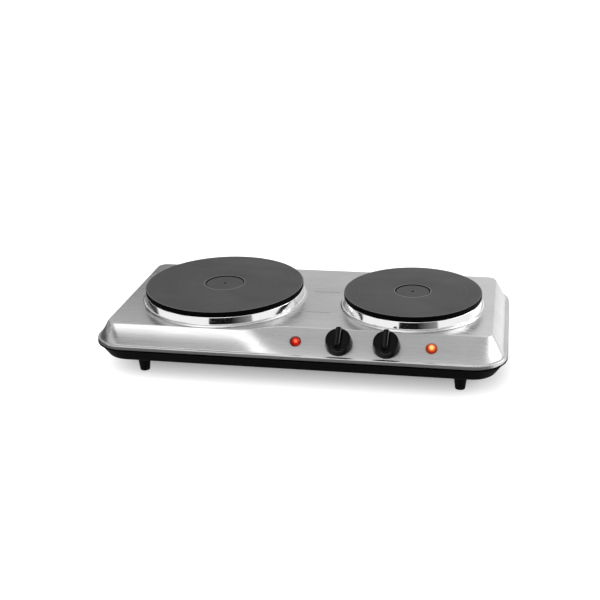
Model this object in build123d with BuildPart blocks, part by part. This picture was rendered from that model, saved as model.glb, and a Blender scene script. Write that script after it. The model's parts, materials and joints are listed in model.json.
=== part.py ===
from build123d import *
import os
from dataclasses import dataclass
from math import asin, atan2, cos, degrees, radians, sin, tan

# Double electric hot plate for a worktop: a pressed stainless housing on a black steel pan,
# two cast iron plates on spill rings, and a sloping panel with two thermostat knobs and two lamps.
# Millimetres. +Z is up, +X is to the right seen from the front, and the front faces -Y.
# The origin is on the ground under the middle of the pan.

# Heights, stacked from the ground up
foot_height = 24.0
pan_depth = 17.5
rim_height = 4.5
skirt_height = 20.5
collar_height = 1.5
ring_height = 9.2
plate_edge_height = 5.3

# Plates and the deck around them
left_plate_diameter = 184.2
right_plate_diameter = 155.0
left_margin = 15.5
plate_gap = 41.2
right_margin = 9.3
front_margin = 0.7

# Pressed housing
sheet = 0.8
lip_overhang = 0.5
ledge_width = 3.0
skirt_run = 13.5
panel_setback = 14.8
corner_radius = 38.0
deck_corner_radius = 10.0
deck_edge_radius = 1.2
ledge_radius = 1.2
blend_length = 60.0
rib_length = 30.0
rib_width = 1.6
rib_depth = 0.4
rib_front_y = -38.0
rib_rear_y = 24.0

# Black pan under the housing
pan_sheet = 0.9
lip_thickness = 1.2
pan_wall_run = 11.2
pan_edge_radius = 6.0
upstand_height = 2.6
upstand_gap = 0.2
vent_length = 34.0
vent_width = 4.0
vent_pitch = 13.0
vent_count = 5
vent_row_pitch = 48.0

# Feet and the corner posts that tie the pan to the deck
foot_side_inset = 49.1
foot_front_inset = 41.8
foot_flange_radius = 10.0
foot_flange_height = 3.2
foot_top_radius = 7.6
foot_bottom_radius = 5.2
foot_counterbore_depth = 11.0
foot_screw_radius = 2.0
foot_screw_head_radius = 3.4
foot_screw_head_height = 2.4
foot_screw_tail = 5.0
post_width = 14.0
post_sheet = 1.5
post_foot_length = 14.0
post_flange_length = 10.0

# Cast iron plates
plate_overhang = 2.5
plate_thickness = 14.0
plate_edge_radius = 1.0
left_recess_diameter = 46.0
right_recess_diameter = 40.0
recess_depth = 0.8
dimple_radius = 1.8
dimple_depth = 0.8
boss_radius = 14.0
boss_drop = 7.5
channel_inner_radius = 30.0
channel_rim = 5.5
channel_rib = 6.0
channel_depth = 7.0
channel_gap = 0.1

# Spill rings and the pressed collars they stand on
ring_sheet = 0.7
ring_flare = 1.6
ring_foot = 1.0
ring_shoulder = 0.4
ring_gap = 0.15
collar_land = 0.5
collar_slope = 1.4
hole_clearance = 1.0

# What holds a plate down and covers its underside
stud_radius = 4.0
stud_depth = 12.0
stud_tail = 2.0
thread_gap = 0.06
shield_sheet = 0.6
shield_inset = 1.5
shield_taper = 6.0
spacer_length = 5.0
spacer_radius = 7.5
bar_thickness = 2.0
bar_width = 20.0
bar_gap = 0.3
washer_radius = 8.5
washer_thickness = 1.6
nut_flats = 13.0
nut_height = 6.5
hole_gap = 0.25

# Heater terminals
pin_radius = 1.6
pin_drop = 9.0
pin_spread = 26.0
left_pin_angle = -45.0
right_pin_angle = 225.0
bead_radius = 3.6
bead_flange_radius = 5.2
bead_flange_height = 2.0
bead_drop = 3.0
bead_gap = 0.1

# Control panel
control_from_right = 135.1
knob_pitch = 51.0
lamp_pitch = 146.0
control_rise = 17.0

# Knobs
knob_radius = 15.0
knob_face_radius = 13.4
knob_height = 10.4
knob_panel_gap = 0.8
knob_skirt_wall = 1.5
knob_cavity_depth = 4.2
knob_face_rim = 1.2
knob_face_dish = 0.7
knob_hub_radius = 5.5
grip_height = 5.0
grip_base_width = 9.0
grip_top_width = 5.6
grip_base_length = 25.0
grip_top_length = 22.6
grip_top_shift = 1.2
grip_groove_width = 2.4
grip_groove_depth = 0.5
grip_groove_margin = 1.5
knob_spring_thickness = 0.5
knob_spring_width = 2.0
knob_spring_slit = 3.0

# Thermostats
spindle_radius = 3.0
spindle_flat = 2.0
spindle_reach = 9.0
spindle_gap = 0.08
bush_radius = 5.0
bush_height = 2.2
bush_gap = 0.2
frame_width = 29.0
frame_length = 26.0
frame_sheet = 1.2
leg_length = 18.0
leg_width = 12.0
base_length = 22.0
base_thickness = 6.0
flange_radius = 5.0
flange_thickness = 1.5
axial_gap = 0.3
tail_radius = 1.5
tail_length = 3.0
tail_gap = 0.1
cam_radius = 7.5
cam_lift = 1.2
cam_thickness = 3.0
cam_rise = 2.5
cam_travel = 270.0
cam_margin = 10.0
cam_step = 29.0
follower_gap = 0.2
follower_radius = 1.0
leaf_thickness = 0.5
leaf_width = 4.0
pivot_margin = 2.8
leaf_pivot_y = 9.5
leaf_eye_radius = 2.0
pivot_radius = 1.2
pivot_gap = 0.08
contact_radius = 1.5
contact_height = 1.0
contact_margin = 4.8
contact_closing_gap = 0.3
fixed_contact_height = 0.6
tab_width = 3.0
tab_thickness = 1.2
tab_drop = 5.0
tab_gap = 0.1
mount_screw_radius = 1.5
mount_screw_head_radius = 2.6
mount_screw_head_height = 1.7
mount_screw_spacing = 19.0
mount_screw_tail = 2.0

# Pilot lamps
lens_flange_radius = 6.3
lens_flange_height = 1.2
lens_dome_height = 4.4
lens_dome_inset = 0.6
lens_stem_radius = 4.4
lens_wall = 1.0
lens_stem_length = 14.0
lamp_hole_gap = 0.2
clip_radius = 8.0
clip_thickness = 0.6
clip_gap = 0.1
holder_plug_depth = 5.0
holder_gap = 0.1
holder_flange_radius = 5.0
holder_flange_height = 6.0
bulb_radius = 2.4
bulb_length = 9.0

# Cord gland, mains terminal block and earth screw
gland_flange_radius = 7.0
gland_flange_height = 2.2
gland_body_radius = 5.2
gland_snap_radius = 6.2
gland_snap_height = 2.0
gland_bore_radius = 3.6
gland_gap = 0.1
block_y = 62.0
block_length = 34.0
block_width = 18.0
block_height = 13.0
block_pitch = 10.0
block_wall_notch = 2.5
block_screw_radius = 2.0
block_screw_head_radius = 3.2
block_screw_depth = 6.0
block_screw_length = 3.3
block_screw_head_height = 1.6
block_bore_radius = 2.1
fixing_screw_radius = 1.5
fixing_screw_head_radius = 2.8
fixing_screw_head_height = 1.6
fixing_screw_grip = 3.2
earth_distance = 34.0
earth_screw_length = 9.0
earth_nut_flats = 7.0
earth_nut_height = 3.2

# Glass sleeved leads inside the pan
lead_radius = 1.1
lead_gap = 0.1
lead_stub = 12.5
lead_low_z = 28.0
lead_link_z = 34.0
lead_high_z = 36.0
lead_bend_share = 0.45

# Levels that follow from the stacked heights
rim_z = foot_height + pan_depth
ledge_z = rim_z + rim_height
deck_z = ledge_z + skirt_height
collar_z = deck_z + collar_height
overhang_z = collar_z + ring_height
top_z = overhang_z + plate_edge_height
pan_floor_z = foot_height + pan_sheet
deck_under_z = deck_z - sheet
plate_bottom_z = top_z - plate_thickness
boss_z = plate_bottom_z - boss_drop
shield_z = boss_z - shield_sheet
bar_z = shield_z - spacer_length
bar_under_z = bar_z - bar_thickness
nut_z = bar_under_z - washer_thickness - nut_height
pin_end_z = shield_z - pin_drop


def burner_reach(diameter):
    """Radius of the pressed collar's foot round a plate of this diameter."""
    return diameter / 2 + ring_flare + ring_foot + collar_land + collar_slope


# Plan sizes that follow from the plates and their margins
left_reach = burner_reach(left_plate_diameter)
right_reach = burner_reach(right_plate_diameter)
ledge_inset = lip_overhang + ledge_width
deck_inset = ledge_inset + skirt_run
deck_width = left_margin + 2 * left_reach + plate_gap + 2 * right_reach + right_margin
deck_depth = 2 * (max(left_reach, right_reach) + front_margin)
overall_width = deck_width + 2 * deck_inset
overall_depth = deck_depth + 2 * deck_inset
left_plate_x = -deck_width / 2 + left_margin + left_reach
right_plate_x = deck_width / 2 - right_margin - right_reach
middle_x = left_plate_x + left_reach + plate_gap / 2
control_x = deck_width / 2 - control_from_right

# The panel is a plane from the front ledge up to the set back edge of the deck
panel_run = skirt_run + panel_setback
panel_slope = atan2(skirt_height, panel_run)
skirt_slope = atan2(skirt_height, skirt_run)
left_lamp_x = control_x - lamp_pitch / 2
blend_end_x = left_lamp_x - clip_radius
blend_start_x = blend_end_x - blend_length

# The pan's wall leans in, so its gauge shows a little wider on the level
pan_top_inset = lip_overhang + sheet
pan_wall_height = pan_depth - lip_thickness
pan_wall_lean = atan2(pan_wall_run, pan_wall_height)
pan_wall_inset = pan_sheet / cos(pan_wall_lean)
foot_x = overall_width / 2 - foot_side_inset
foot_y = overall_depth / 2 - foot_front_inset
foot_points = [(-foot_x, -foot_y), (foot_x, -foot_y), (-foot_x, foot_y), (foot_x, foot_y)]

# The terminal block's wire bores, and the earth screw in front of its last way
wire_z = pan_floor_z + block_height / 2
block_front_y = block_y - block_width / 2
way_x = [middle_x - block_pitch, middle_x, middle_x + block_pitch]
earth_point = (way_x[2], block_y - earth_distance)

# Thermostat stations, measured along the spindle from the panel's outer face
frame_w = -sheet
frame_under_w = frame_w - frame_sheet
leg_end_w = frame_under_w - leg_length
base_top_w = leg_end_w + base_thickness
spindle_end_w = base_top_w + axial_gap
cam_w = base_top_w + cam_rise
leaf_w = cam_w - (leaf_width - cam_thickness) / 2
leaf_top_w = leaf_w + leaf_width
tab_end_w = leg_end_w - tab_drop
leg_face_x = frame_width / 2 - frame_sheet
leaf_pivot_x = leg_face_x - pivot_margin
contact_x = contact_margin - leg_face_x
leaf_face_y = leaf_pivot_y - leaf_thickness / 2
leaf_swing = asin(cam_lift / leaf_pivot_x)
leaf_span = leaf_pivot_x - contact_x + contact_radius
contact_drop = leaf_span * sin(leaf_swing)
fixed_face_y = leaf_face_y - contact_height - contact_drop - contact_closing_gap
tab_y = fixed_face_y - fixed_contact_height - tab_thickness / 2
tab_points = [(contact_x, tab_y), (leaf_pivot_x, leaf_pivot_y)]

os.makedirs("parts", exist_ok=True)


@dataclass
class Burner:
    """A plate's side, place and radii, from which its ring, shield and clamp follow."""

    side: str
    x: float
    radius: float
    recess_radius: float
    pin_angle: float

    def __post_init__(self):
        self.body_radius = self.radius - plate_overhang
        self.hole_radius = self.body_radius + hole_clearance
        self.ring_radius = self.radius + ring_flare + ring_foot
        self.collar_radius = self.ring_radius + collar_land
        self.reach = self.collar_radius + collar_slope
        self.channel_outer = self.body_radius - channel_rim
        self.channel_middle = (channel_inner_radius + self.channel_outer) / 2
        self.pin_circle = (channel_inner_radius + self.channel_middle - channel_rib / 2) / 2
        self.section = Plane((self.x, 0, 0), x_dir=(1, 0, 0), z_dir=(0, -1, 0))
        self.axis = Axis((self.x, 0, 0), (0, 0, 1))

    def level(self, z):
        """Level plane at height z, centred on the plate."""
        return Plane((self.x, 0, z))

    def pin_points(self):
        """Places of the two terminal pins, from the plate's centre."""
        angles = [radians(self.pin_angle + turn * pin_spread / 2) for turn in (-1, 1)]
        return [(self.pin_circle * cos(a), self.pin_circle * sin(a)) for a in angles]


burners = [
    Burner("left", left_plate_x, left_plate_diameter / 2, left_recess_diameter / 2, left_pin_angle),
    Burner("right", right_plate_x, right_plate_diameter / 2, right_recess_diameter / 2, right_pin_angle),
]


def control_plane(x):
    """Plane on the panel's outer face at a control: local x to the right, y up the slope."""
    front = -overall_depth / 2 + ledge_inset
    y = front + control_rise * cos(panel_slope)
    z = ledge_z + control_rise * sin(panel_slope)
    return Plane((x, y, z), x_dir=(1, 0, 0), z_dir=(0, -sin(panel_slope), cos(panel_slope)))


knob_planes = {
    "left": control_plane(control_x - knob_pitch / 2),
    "right": control_plane(control_x + knob_pitch / 2),
}
lamp_planes = {
    "left": control_plane(left_lamp_x),
    "right": control_plane(control_x + lamp_pitch / 2),
}


def save(part, name):
    """Label a finished piece and write it under its name."""
    part.label = name
    export_step(part, f"parts/{name}.step")


def body_outline(z, inset, radius, setback=0.0):
    """Rounded plan outline at height z, with the right of its front edge set back.

    Its edges are joined without a line builder, which would merge those of a straight front:
    with the same edges every time, two outlines pair edge by edge in a ruled loft.
    """
    half_width = overall_width / 2 - inset
    half_depth = overall_depth / 2 - inset
    front = -half_depth
    panel = front + setback
    start = (blend_start_x, front)
    turn = ((blend_start_x + blend_end_x) / 2, front + setback / 2)
    end = (blend_end_x, panel)
    if setback:
        bend = TangentArc(start, turn, tangent=(1, 0))
        blend = [bend, TangentArc(turn, end, tangent=bend % 1)]
    else:
        blend = [Line(start, turn), Line(turn, end)]
    edges = [
        Line((radius - half_width, front), start),
        *blend,
        Line(end, (half_width - radius, panel)),
        CenterArc((half_width - radius, panel + radius), radius, -90, 90),
        Line((half_width, panel + radius), (half_width, half_depth - radius)),
        CenterArc((half_width - radius, half_depth - radius), radius, 0, 90),
        Line((half_width - radius, half_depth), (radius - half_width, half_depth)),
        CenterArc((radius - half_width, half_depth - radius), radius, 90, 90),
        Line((-half_width, half_depth - radius), (-half_width, front + radius)),
        CenterArc((radius - half_width, front + radius), radius, 180, 90),
    ]
    return Plane.XY.offset(z) * Face(Wire(edges))


def pressed_form(gauge):
    """The pressing's outer form, or with a gauge the form of its inner face."""
    rim_inset = lip_overhang + gauge
    lean = gauge * tan(skirt_slope / 2)
    panel_shift = gauge * tan(panel_slope / 2) - lean
    bottom = ledge_z - gauge
    deck = deck_z - gauge
    foot_radius = corner_radius - ledge_inset - lean
    foot_outline = body_outline(bottom, ledge_inset + lean, foot_radius, panel_shift)
    deck_shift = panel_setback + panel_shift
    deck_outline = body_outline(deck, deck_inset + lean, deck_corner_radius - lean, deck_shift)
    rim_outline = body_outline(rim_z, rim_inset, corner_radius - rim_inset)
    with BuildPart() as form:
        loft([foot_outline, deck_outline], ruled=True)
        if not gauge:
            fillet(form.faces().sort_by(Axis.Z)[-1].edges(), deck_edge_radius)
        extrude(rim_outline, amount=bottom - rim_z)
        if not gauge:
            fillet(form.edges().filter_by_position(Axis.Z, bottom, bottom), ledge_radius)
        for burner in burners:
            with BuildSketch(burner.section):
                with BuildLine():
                    Polyline(
                        (0, bottom),
                        (burner.reach - lean, bottom),
                        (burner.reach - lean, deck),
                        (burner.collar_radius - lean, collar_z - gauge),
                        (0, collar_z - gauge),
                        close=True,
                    )
                make_face()
            revolve(axis=burner.axis)
    return form.part


def make_top_housing():
    """Stainless pressing: deck, skirt, set back panel, collars and their holes."""
    outer_form = pressed_form(0)
    inner_form = pressed_form(sheet)
    with BuildPart() as housing:
        add(outer_form)
        add(inner_form, mode=Mode.SUBTRACT)
        for burner in burners:
            with BuildSketch(burner.level(deck_under_z)):
                Circle(burner.hole_radius)
            extrude(amount=collar_height + 2 * sheet, mode=Mode.SUBTRACT)
        for plane in knob_planes.values():
            with BuildSketch(plane):
                Circle(bush_radius + bush_gap)
                with GridLocations(mount_screw_spacing, 0, 2, 1):
                    Circle(mount_screw_radius + hole_gap)
            extrude(amount=2 * sheet, both=True, mode=Mode.SUBTRACT)
        for plane in lamp_planes.values():
            with BuildSketch(plane):
                Circle(lens_stem_radius + lamp_hole_gap)
            extrude(amount=2 * sheet, both=True, mode=Mode.SUBTRACT)
        with BuildSketch(Plane.XY.offset(deck_z)):
            with Locations((middle_x, rib_front_y), (middle_x, rib_rear_y)):
                SlotOverall(rib_length, rib_width)
        extrude(amount=-rib_depth, mode=Mode.SUBTRACT)
    return housing.part


def pan_outline(z, inset):
    """Rounded rectangle of the pan at height z."""
    with BuildSketch(Plane.XY.offset(z)) as outline:
        RectangleRounded(overall_width - 2 * inset, overall_depth - 2 * inset, corner_radius - inset)
    return outline.sketch


def gland_plane():
    """Plane on the outside of the pan's rear wall, halfway up its flat part."""
    rise = (pan_wall_height + pan_edge_radius * tan(pan_wall_lean / 2)) / 2
    y = overall_depth / 2 - pan_top_inset - (pan_wall_height - rise) * tan(pan_wall_lean)
    normal = (0, cos(pan_wall_lean), -sin(pan_wall_lean))
    return Plane((middle_x, y, foot_height + rise), x_dir=(-1, 0, 0), z_dir=normal)


def make_base_pan():
    """Black steel tray: lip under the housing's rim, leaning walls, vents and holes."""
    bottom_inset = pan_top_inset + pan_wall_run
    lip_z = rim_z - lip_thickness
    upstand_inset = pan_top_inset + upstand_gap
    with BuildPart() as hollow:
        loft(
            [
                pan_outline(pan_floor_z, bottom_inset + pan_wall_inset / 2),
                pan_outline(lip_z, pan_top_inset + pan_wall_inset),
            ],
            ruled=True,
        )
        fillet(hollow.faces().sort_by(Axis.Z)[0].edges(), pan_edge_radius - pan_sheet)
        extrude(pan_outline(lip_z, upstand_inset + pan_sheet), amount=lip_thickness + upstand_height)
    with BuildPart() as pan:
        loft([pan_outline(foot_height, bottom_inset), pan_outline(lip_z, pan_top_inset)], ruled=True)
        fillet(pan.faces().sort_by(Axis.Z)[0].edges(), pan_edge_radius)
        extrude(pan_outline(lip_z, 0), amount=lip_thickness)
        extrude(pan_outline(rim_z, upstand_inset), amount=upstand_height)
        add(hollow.part, mode=Mode.SUBTRACT)
        with BuildSketch(Plane.XY.offset(foot_height)):
            with Locations(*foot_points):
                Circle(foot_screw_radius + hole_gap)
            with Locations((middle_x, block_y), earth_point):
                Circle(fixing_screw_radius + hole_gap)
            for burner in burners:
                with Locations((burner.x, 0)):
                    with GridLocations(vent_pitch, vent_row_pitch, vent_count, 2):
                        SlotOverall(vent_length, vent_width, rotation=90)
        extrude(amount=pan_sheet, mode=Mode.SUBTRACT)
        with BuildSketch(gland_plane()):
            Circle(gland_body_radius + gland_gap)
        extrude(amount=2 * pan_sheet, both=True, mode=Mode.SUBTRACT)
    return pan.part


def make_foot(x, y):
    """Tapered rubber foot with a flange against the pan and a counterbore for its screw."""
    section = Plane((x, y, 0), x_dir=(1, 0, 0), z_dir=(0, -1, 0))
    bore = foot_screw_radius + hole_gap
    flange_z = foot_height - foot_flange_height
    with BuildPart() as foot:
        with BuildSketch(section):
            with BuildLine():
                Polyline(
                    (bore, foot_counterbore_depth),
                    (foot_screw_head_radius + hole_gap, foot_counterbore_depth),
                    (foot_screw_head_radius + hole_gap, 0),
                    (foot_bottom_radius, 0),
                    (foot_top_radius, flange_z),
                    (foot_flange_radius, foot_height),
                    (bore, foot_height),
                    close=True,
                )
            make_face()
        revolve(axis=Axis((x, y, 0), (0, 0, 1)))
    return foot.part


def make_foot_screws():
    """Four long screws through the feet and the pan into the corner posts."""
    head_z = foot_counterbore_depth - foot_screw_head_height
    tip_z = pan_floor_z + post_sheet + foot_screw_tail
    with BuildPart() as screws:
        with BuildSketch(Plane.XY.offset(head_z)):
            with Locations(*foot_points):
                Circle(foot_screw_head_radius)
        extrude(amount=foot_screw_head_height)
        with BuildSketch(Plane.XY.offset(foot_counterbore_depth)):
            with Locations(*foot_points):
                Circle(foot_screw_radius)
        extrude(amount=tip_z - foot_counterbore_depth)
    return screws.part


def make_corner_posts():
    """Four bent posts, foot on the pan and flange welded under the deck."""
    half_foot = post_foot_length / 2
    with BuildPart() as posts:
        for x, y in foot_points:
            side = 1 if x > 0 else -1
            with BuildSketch(Plane((x, y, 0), x_dir=(side, 0, 0), z_dir=(0, -side, 0))):
                with BuildLine():
                    Polyline(
                        (-half_foot, pan_floor_z),
                        (half_foot, pan_floor_z),
                        (half_foot, deck_under_z - post_sheet),
                        (half_foot + post_flange_length, deck_under_z - post_sheet),
                        (half_foot + post_flange_length, deck_under_z),
                        (half_foot - post_sheet, deck_under_z),
                        (half_foot - post_sheet, pan_floor_z + post_sheet),
                        (-half_foot, pan_floor_z + post_sheet),
                        close=True,
                    )
                make_face()
            extrude(amount=post_width / 2, both=True)
        with BuildSketch(Plane.XY.offset(pan_floor_z)):
            with Locations(*foot_points):
                Circle(foot_screw_radius + thread_gap)
        extrude(amount=post_sheet, mode=Mode.SUBTRACT)
    return posts.part


def make_plate(burner):
    """Cast iron plate: dished centre, overhanging edge, heater channels and stud boss."""
    floor_z = top_z - recess_depth
    with BuildPart() as plate:
        with BuildSketch(burner.section) as profile:
            with BuildLine():
                Polyline(
                    (0, boss_z),
                    (boss_radius, boss_z),
                    (boss_radius, plate_bottom_z),
                    (burner.body_radius, plate_bottom_z),
                    (burner.body_radius, overhang_z),
                    (burner.radius, overhang_z),
                    (burner.radius, top_z),
                    (burner.recess_radius, top_z),
                    (burner.recess_radius - recess_depth, floor_z),
                    (dimple_radius, floor_z),
                    (0, floor_z - dimple_depth),
                    close=True,
                )
            make_face()
            fillet(profile.vertices().group_by(Axis.Y)[-1], plate_edge_radius)
        revolve(axis=burner.axis)
        with BuildSketch(burner.level(plate_bottom_z)):
            Circle(burner.channel_outer)
            Circle(burner.channel_middle + channel_rib / 2, mode=Mode.SUBTRACT)
            Circle(burner.channel_middle - channel_rib / 2)
            Circle(channel_inner_radius, mode=Mode.SUBTRACT)
        extrude(amount=channel_depth, mode=Mode.SUBTRACT)
        with BuildSketch(burner.level(boss_z)):
            Circle(stud_radius + thread_gap)
        extrude(amount=stud_depth, mode=Mode.SUBTRACT)
    return plate.part


def make_heating_element(burner):
    """Two rings of pressed ceramic that bed the heating wire in the plate's channels."""
    with BuildPart() as element:
        with BuildSketch(burner.level(plate_bottom_z)):
            Circle(burner.channel_outer - channel_gap)
            Circle(burner.channel_middle + channel_rib / 2 + channel_gap, mode=Mode.SUBTRACT)
            Circle(burner.channel_middle - channel_rib / 2 - channel_gap)
            Circle(channel_inner_radius + channel_gap, mode=Mode.SUBTRACT)
        extrude(amount=channel_depth)
    return element.part


def make_spill_ring(burner):
    """Polished ring that tucks under the plate's edge and stands on the collar."""
    shoulder = burner.radius - ring_shoulder
    skirt = burner.radius + ring_flare
    with BuildPart() as ring:
        with BuildSketch(burner.section):
            with BuildLine():
                Polyline(
                    (burner.body_radius + ring_gap, overhang_z),
                    (shoulder, overhang_z),
                    (skirt, collar_z + ring_sheet),
                    (burner.ring_radius, collar_z + ring_sheet),
                    (burner.ring_radius, collar_z),
                    (skirt - ring_sheet, collar_z),
                    (shoulder - ring_sheet, overhang_z - ring_sheet),
                    (burner.body_radius + ring_gap, overhang_z - ring_sheet),
                    close=True,
                )
            make_face()
        revolve(axis=burner.axis)
    return ring.part


def make_heat_shield(burner):
    """Dished steel cover under the plate, with holes for the stud and the pins."""
    rim = burner.body_radius - shield_inset
    knee = rim - shield_taper
    with BuildPart() as shield:
        with BuildSketch(burner.section):
            with BuildLine():
                Polyline(
                    (stud_radius + hole_gap, shield_z),
                    (knee, shield_z),
                    (rim, plate_bottom_z),
                    (rim - shield_sheet, plate_bottom_z),
                    (knee - shield_sheet, boss_z),
                    (stud_radius + hole_gap, boss_z),
                    close=True,
                )
            make_face()
        revolve(axis=burner.axis)
        with BuildSketch(burner.level(shield_z)):
            with Locations(*burner.pin_points()):
                Circle(bead_radius + bead_gap)
        extrude(amount=shield_sheet, mode=Mode.SUBTRACT)
    return shield.part


def make_clamp_bar(burner):
    """Steel bar under the plate whose turned up ends bear on the collar from below."""
    bearing_z = collar_z - sheet
    leg = burner.hole_radius + bar_gap
    toe = ((burner.collar_radius - sheet) ** 2 - (bar_width / 2) ** 2) ** 0.5
    with BuildPart() as bar:
        with BuildSketch(burner.section):
            with BuildLine():
                Polyline(
                    (0, bar_under_z),
                    (leg + bar_thickness, bar_under_z),
                    (leg + bar_thickness, bearing_z - bar_thickness),
                    (toe, bearing_z - bar_thickness),
                    (toe, bearing_z),
                    (leg, bearing_z),
                    (leg, bar_z),
                    (0, bar_z),
                )
                mirror(about=Plane.YZ)
            make_face()
        extrude(amount=bar_width / 2, both=True)
        with BuildSketch(burner.level(bar_under_z)):
            Circle(stud_radius + hole_gap)
        extrude(amount=bar_thickness, mode=Mode.SUBTRACT)
    return bar.part


def make_stud(burner):
    """Threaded stud from the plate's boss down through shield, spacer and bar."""
    with BuildPart() as stud:
        with BuildSketch(burner.level(nut_z - stud_tail)):
            Circle(stud_radius)
        extrude(amount=boss_z + stud_depth - nut_z + stud_tail)
    return stud.part


def make_stud_spacer(burner):
    """Spacer tube between the shield and the clamp bar."""
    with BuildPart() as spacer:
        with BuildSketch(burner.level(bar_z)):
            Circle(spacer_radius)
            Circle(stud_radius + hole_gap, mode=Mode.SUBTRACT)
        extrude(amount=spacer_length)
    return spacer.part


def make_stud_washers():
    """A washer under each clamp bar."""
    with BuildPart() as washers:
        for burner in burners:
            with BuildSketch(burner.level(nut_z + nut_height)):
                Circle(washer_radius)
                Circle(stud_radius + hole_gap, mode=Mode.SUBTRACT)
            extrude(amount=washer_thickness)
    return washers.part


def make_stud_nuts():
    """A hexagon nut on each stud."""
    with BuildPart() as nuts:
        for burner in burners:
            with BuildSketch(burner.level(nut_z)):
                RegularPolygon(nut_flats / 2, 6, major_radius=False)
                Circle(stud_radius + thread_gap, mode=Mode.SUBTRACT)
            extrude(amount=nut_height)
    return nuts.part


def make_terminal_pins(burner):
    """The heating wire's two end pins, from the ceramic down through the shield."""
    with BuildPart() as pins:
        with BuildSketch(burner.level(pin_end_z)):
            with Locations(*burner.pin_points()):
                Circle(pin_radius)
        extrude(amount=plate_bottom_z - pin_end_z)
    return pins.part


def make_pin_beads(burner):
    """Flanged ceramic beads that carry the pins through the shield."""
    with BuildPart() as beads:
        with BuildSketch(burner.level(shield_z - bead_drop)):
            with Locations(*burner.pin_points()):
                Circle(bead_radius)
        extrude(amount=bead_drop + shield_sheet)
        with BuildSketch(burner.level(boss_z)):
            with Locations(*burner.pin_points()):
                Circle(bead_flange_radius)
        extrude(amount=bead_flange_height)
        with BuildSketch(burner.level(shield_z - bead_drop)):
            with Locations(*burner.pin_points()):
                Circle(pin_radius + bead_gap)
        extrude(amount=bead_drop + shield_sheet + bead_flange_height, mode=Mode.SUBTRACT)
    return beads.part


def d_section(plane, gap=0.0):
    """Round section with one flat, as on the spindle and in the knob's bore."""
    radius = spindle_radius + gap
    flat = spindle_flat + gap
    with BuildSketch(plane) as section:
        Circle(radius)
        with Locations((0, flat + radius)):
            Rectangle(2 * radius, 2 * radius, mode=Mode.SUBTRACT)
    return section.sketch


def make_knob(plane):
    """Moulded knob: tapered skirt, dished face and a tapered grip bar with a groove along its top."""
    face_w = knob_height - knob_face_dish
    grip_plane = plane.offset(knob_height + grip_height)
    cavity_w = knob_panel_gap + knob_cavity_depth
    hub_w = bush_height + axial_gap
    inner = knob_radius - knob_skirt_wall
    section = Plane(plane.origin, x_dir=plane.x_dir, z_dir=-plane.y_dir)
    with BuildPart() as knob:
        with BuildSketch(section):
            with BuildLine():
                Polyline(
                    (0, hub_w),
                    (knob_hub_radius, hub_w),
                    (knob_hub_radius, cavity_w),
                    (inner, cavity_w),
                    (inner, knob_panel_gap),
                    (knob_radius, knob_panel_gap),
                    (knob_face_radius, face_w),
                    (knob_face_radius - knob_face_dish, knob_height),
                    (knob_face_radius - knob_face_rim, knob_height),
                    (knob_face_radius - knob_face_rim - knob_face_dish, face_w),
                    (0, face_w),
                    close=True,
                )
            make_face()
        revolve(axis=Axis(plane.origin, plane.z_dir))
        with BuildSketch(plane.offset(face_w)):
            SlotOverall(grip_base_length, grip_base_width, rotation=90)
        with BuildSketch(grip_plane):
            with Locations((0, grip_top_shift)):
                SlotOverall(grip_top_length, grip_top_width, rotation=90)
        loft()
        with BuildSketch(grip_plane):
            with Locations((0, grip_top_shift)):
                SlotOverall(grip_top_length - 2 * grip_groove_margin, grip_groove_width, rotation=90)
        extrude(amount=-grip_groove_depth, mode=Mode.SUBTRACT)
        bore_depth = spindle_reach + axial_gap - hub_w
        extrude(d_section(plane.offset(hub_w), spindle_gap), amount=bore_depth, mode=Mode.SUBTRACT)
    return knob.part


def make_knob_spring(plane):
    """Slit spring band that grips the knob's hub round the spindle."""
    hub_w = bush_height + axial_gap
    inner = knob_hub_radius + thread_gap
    with BuildPart() as spring:
        with BuildSketch(plane.offset(hub_w)):
            Circle(inner + knob_spring_thickness)
            Circle(inner, mode=Mode.SUBTRACT)
            with Locations((0, -inner)):
                Rectangle(knob_spring_slit, 2 * inner, mode=Mode.SUBTRACT)
        extrude(amount=knob_spring_width)
    return spring.part


def snail_radius(turn):
    """Radius of the cam under the follower once the knob has turned this many degrees."""
    return cam_radius - cam_lift * turn / cam_travel


def make_spindle(plane):
    """Thermostat spindle: flatted end, flange, snail cam and a tail pivot."""
    first = -cam_margin
    last = cam_travel + cam_margin
    steps = round((last - first) / cam_step)
    turns = [first + (last - first) * step / steps for step in range(steps + 1)]
    angles = [radians(90 + turn) for turn in turns]
    outline = [(snail_radius(t) * cos(a), snail_radius(t) * sin(a)) for t, a in zip(turns, angles)]
    with BuildPart() as spindle:
        with BuildSketch(plane.offset(spindle_end_w)):
            Circle(spindle_radius)
        extrude(amount=bush_height - spindle_end_w)
        extrude(d_section(plane.offset(bush_height)), amount=spindle_reach - bush_height)
        with BuildSketch(plane.offset(frame_under_w - axial_gap - flange_thickness)):
            Circle(flange_radius)
        extrude(amount=flange_thickness)
        with BuildSketch(plane.offset(cam_w)):
            with BuildLine():
                Spline(*outline)
                Line(outline[-1], outline[0])
            make_face()
        extrude(amount=cam_thickness)
        with BuildSketch(plane.offset(spindle_end_w)):
            Circle(tail_radius)
        extrude(amount=-tail_length)
    return spindle.part


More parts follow.
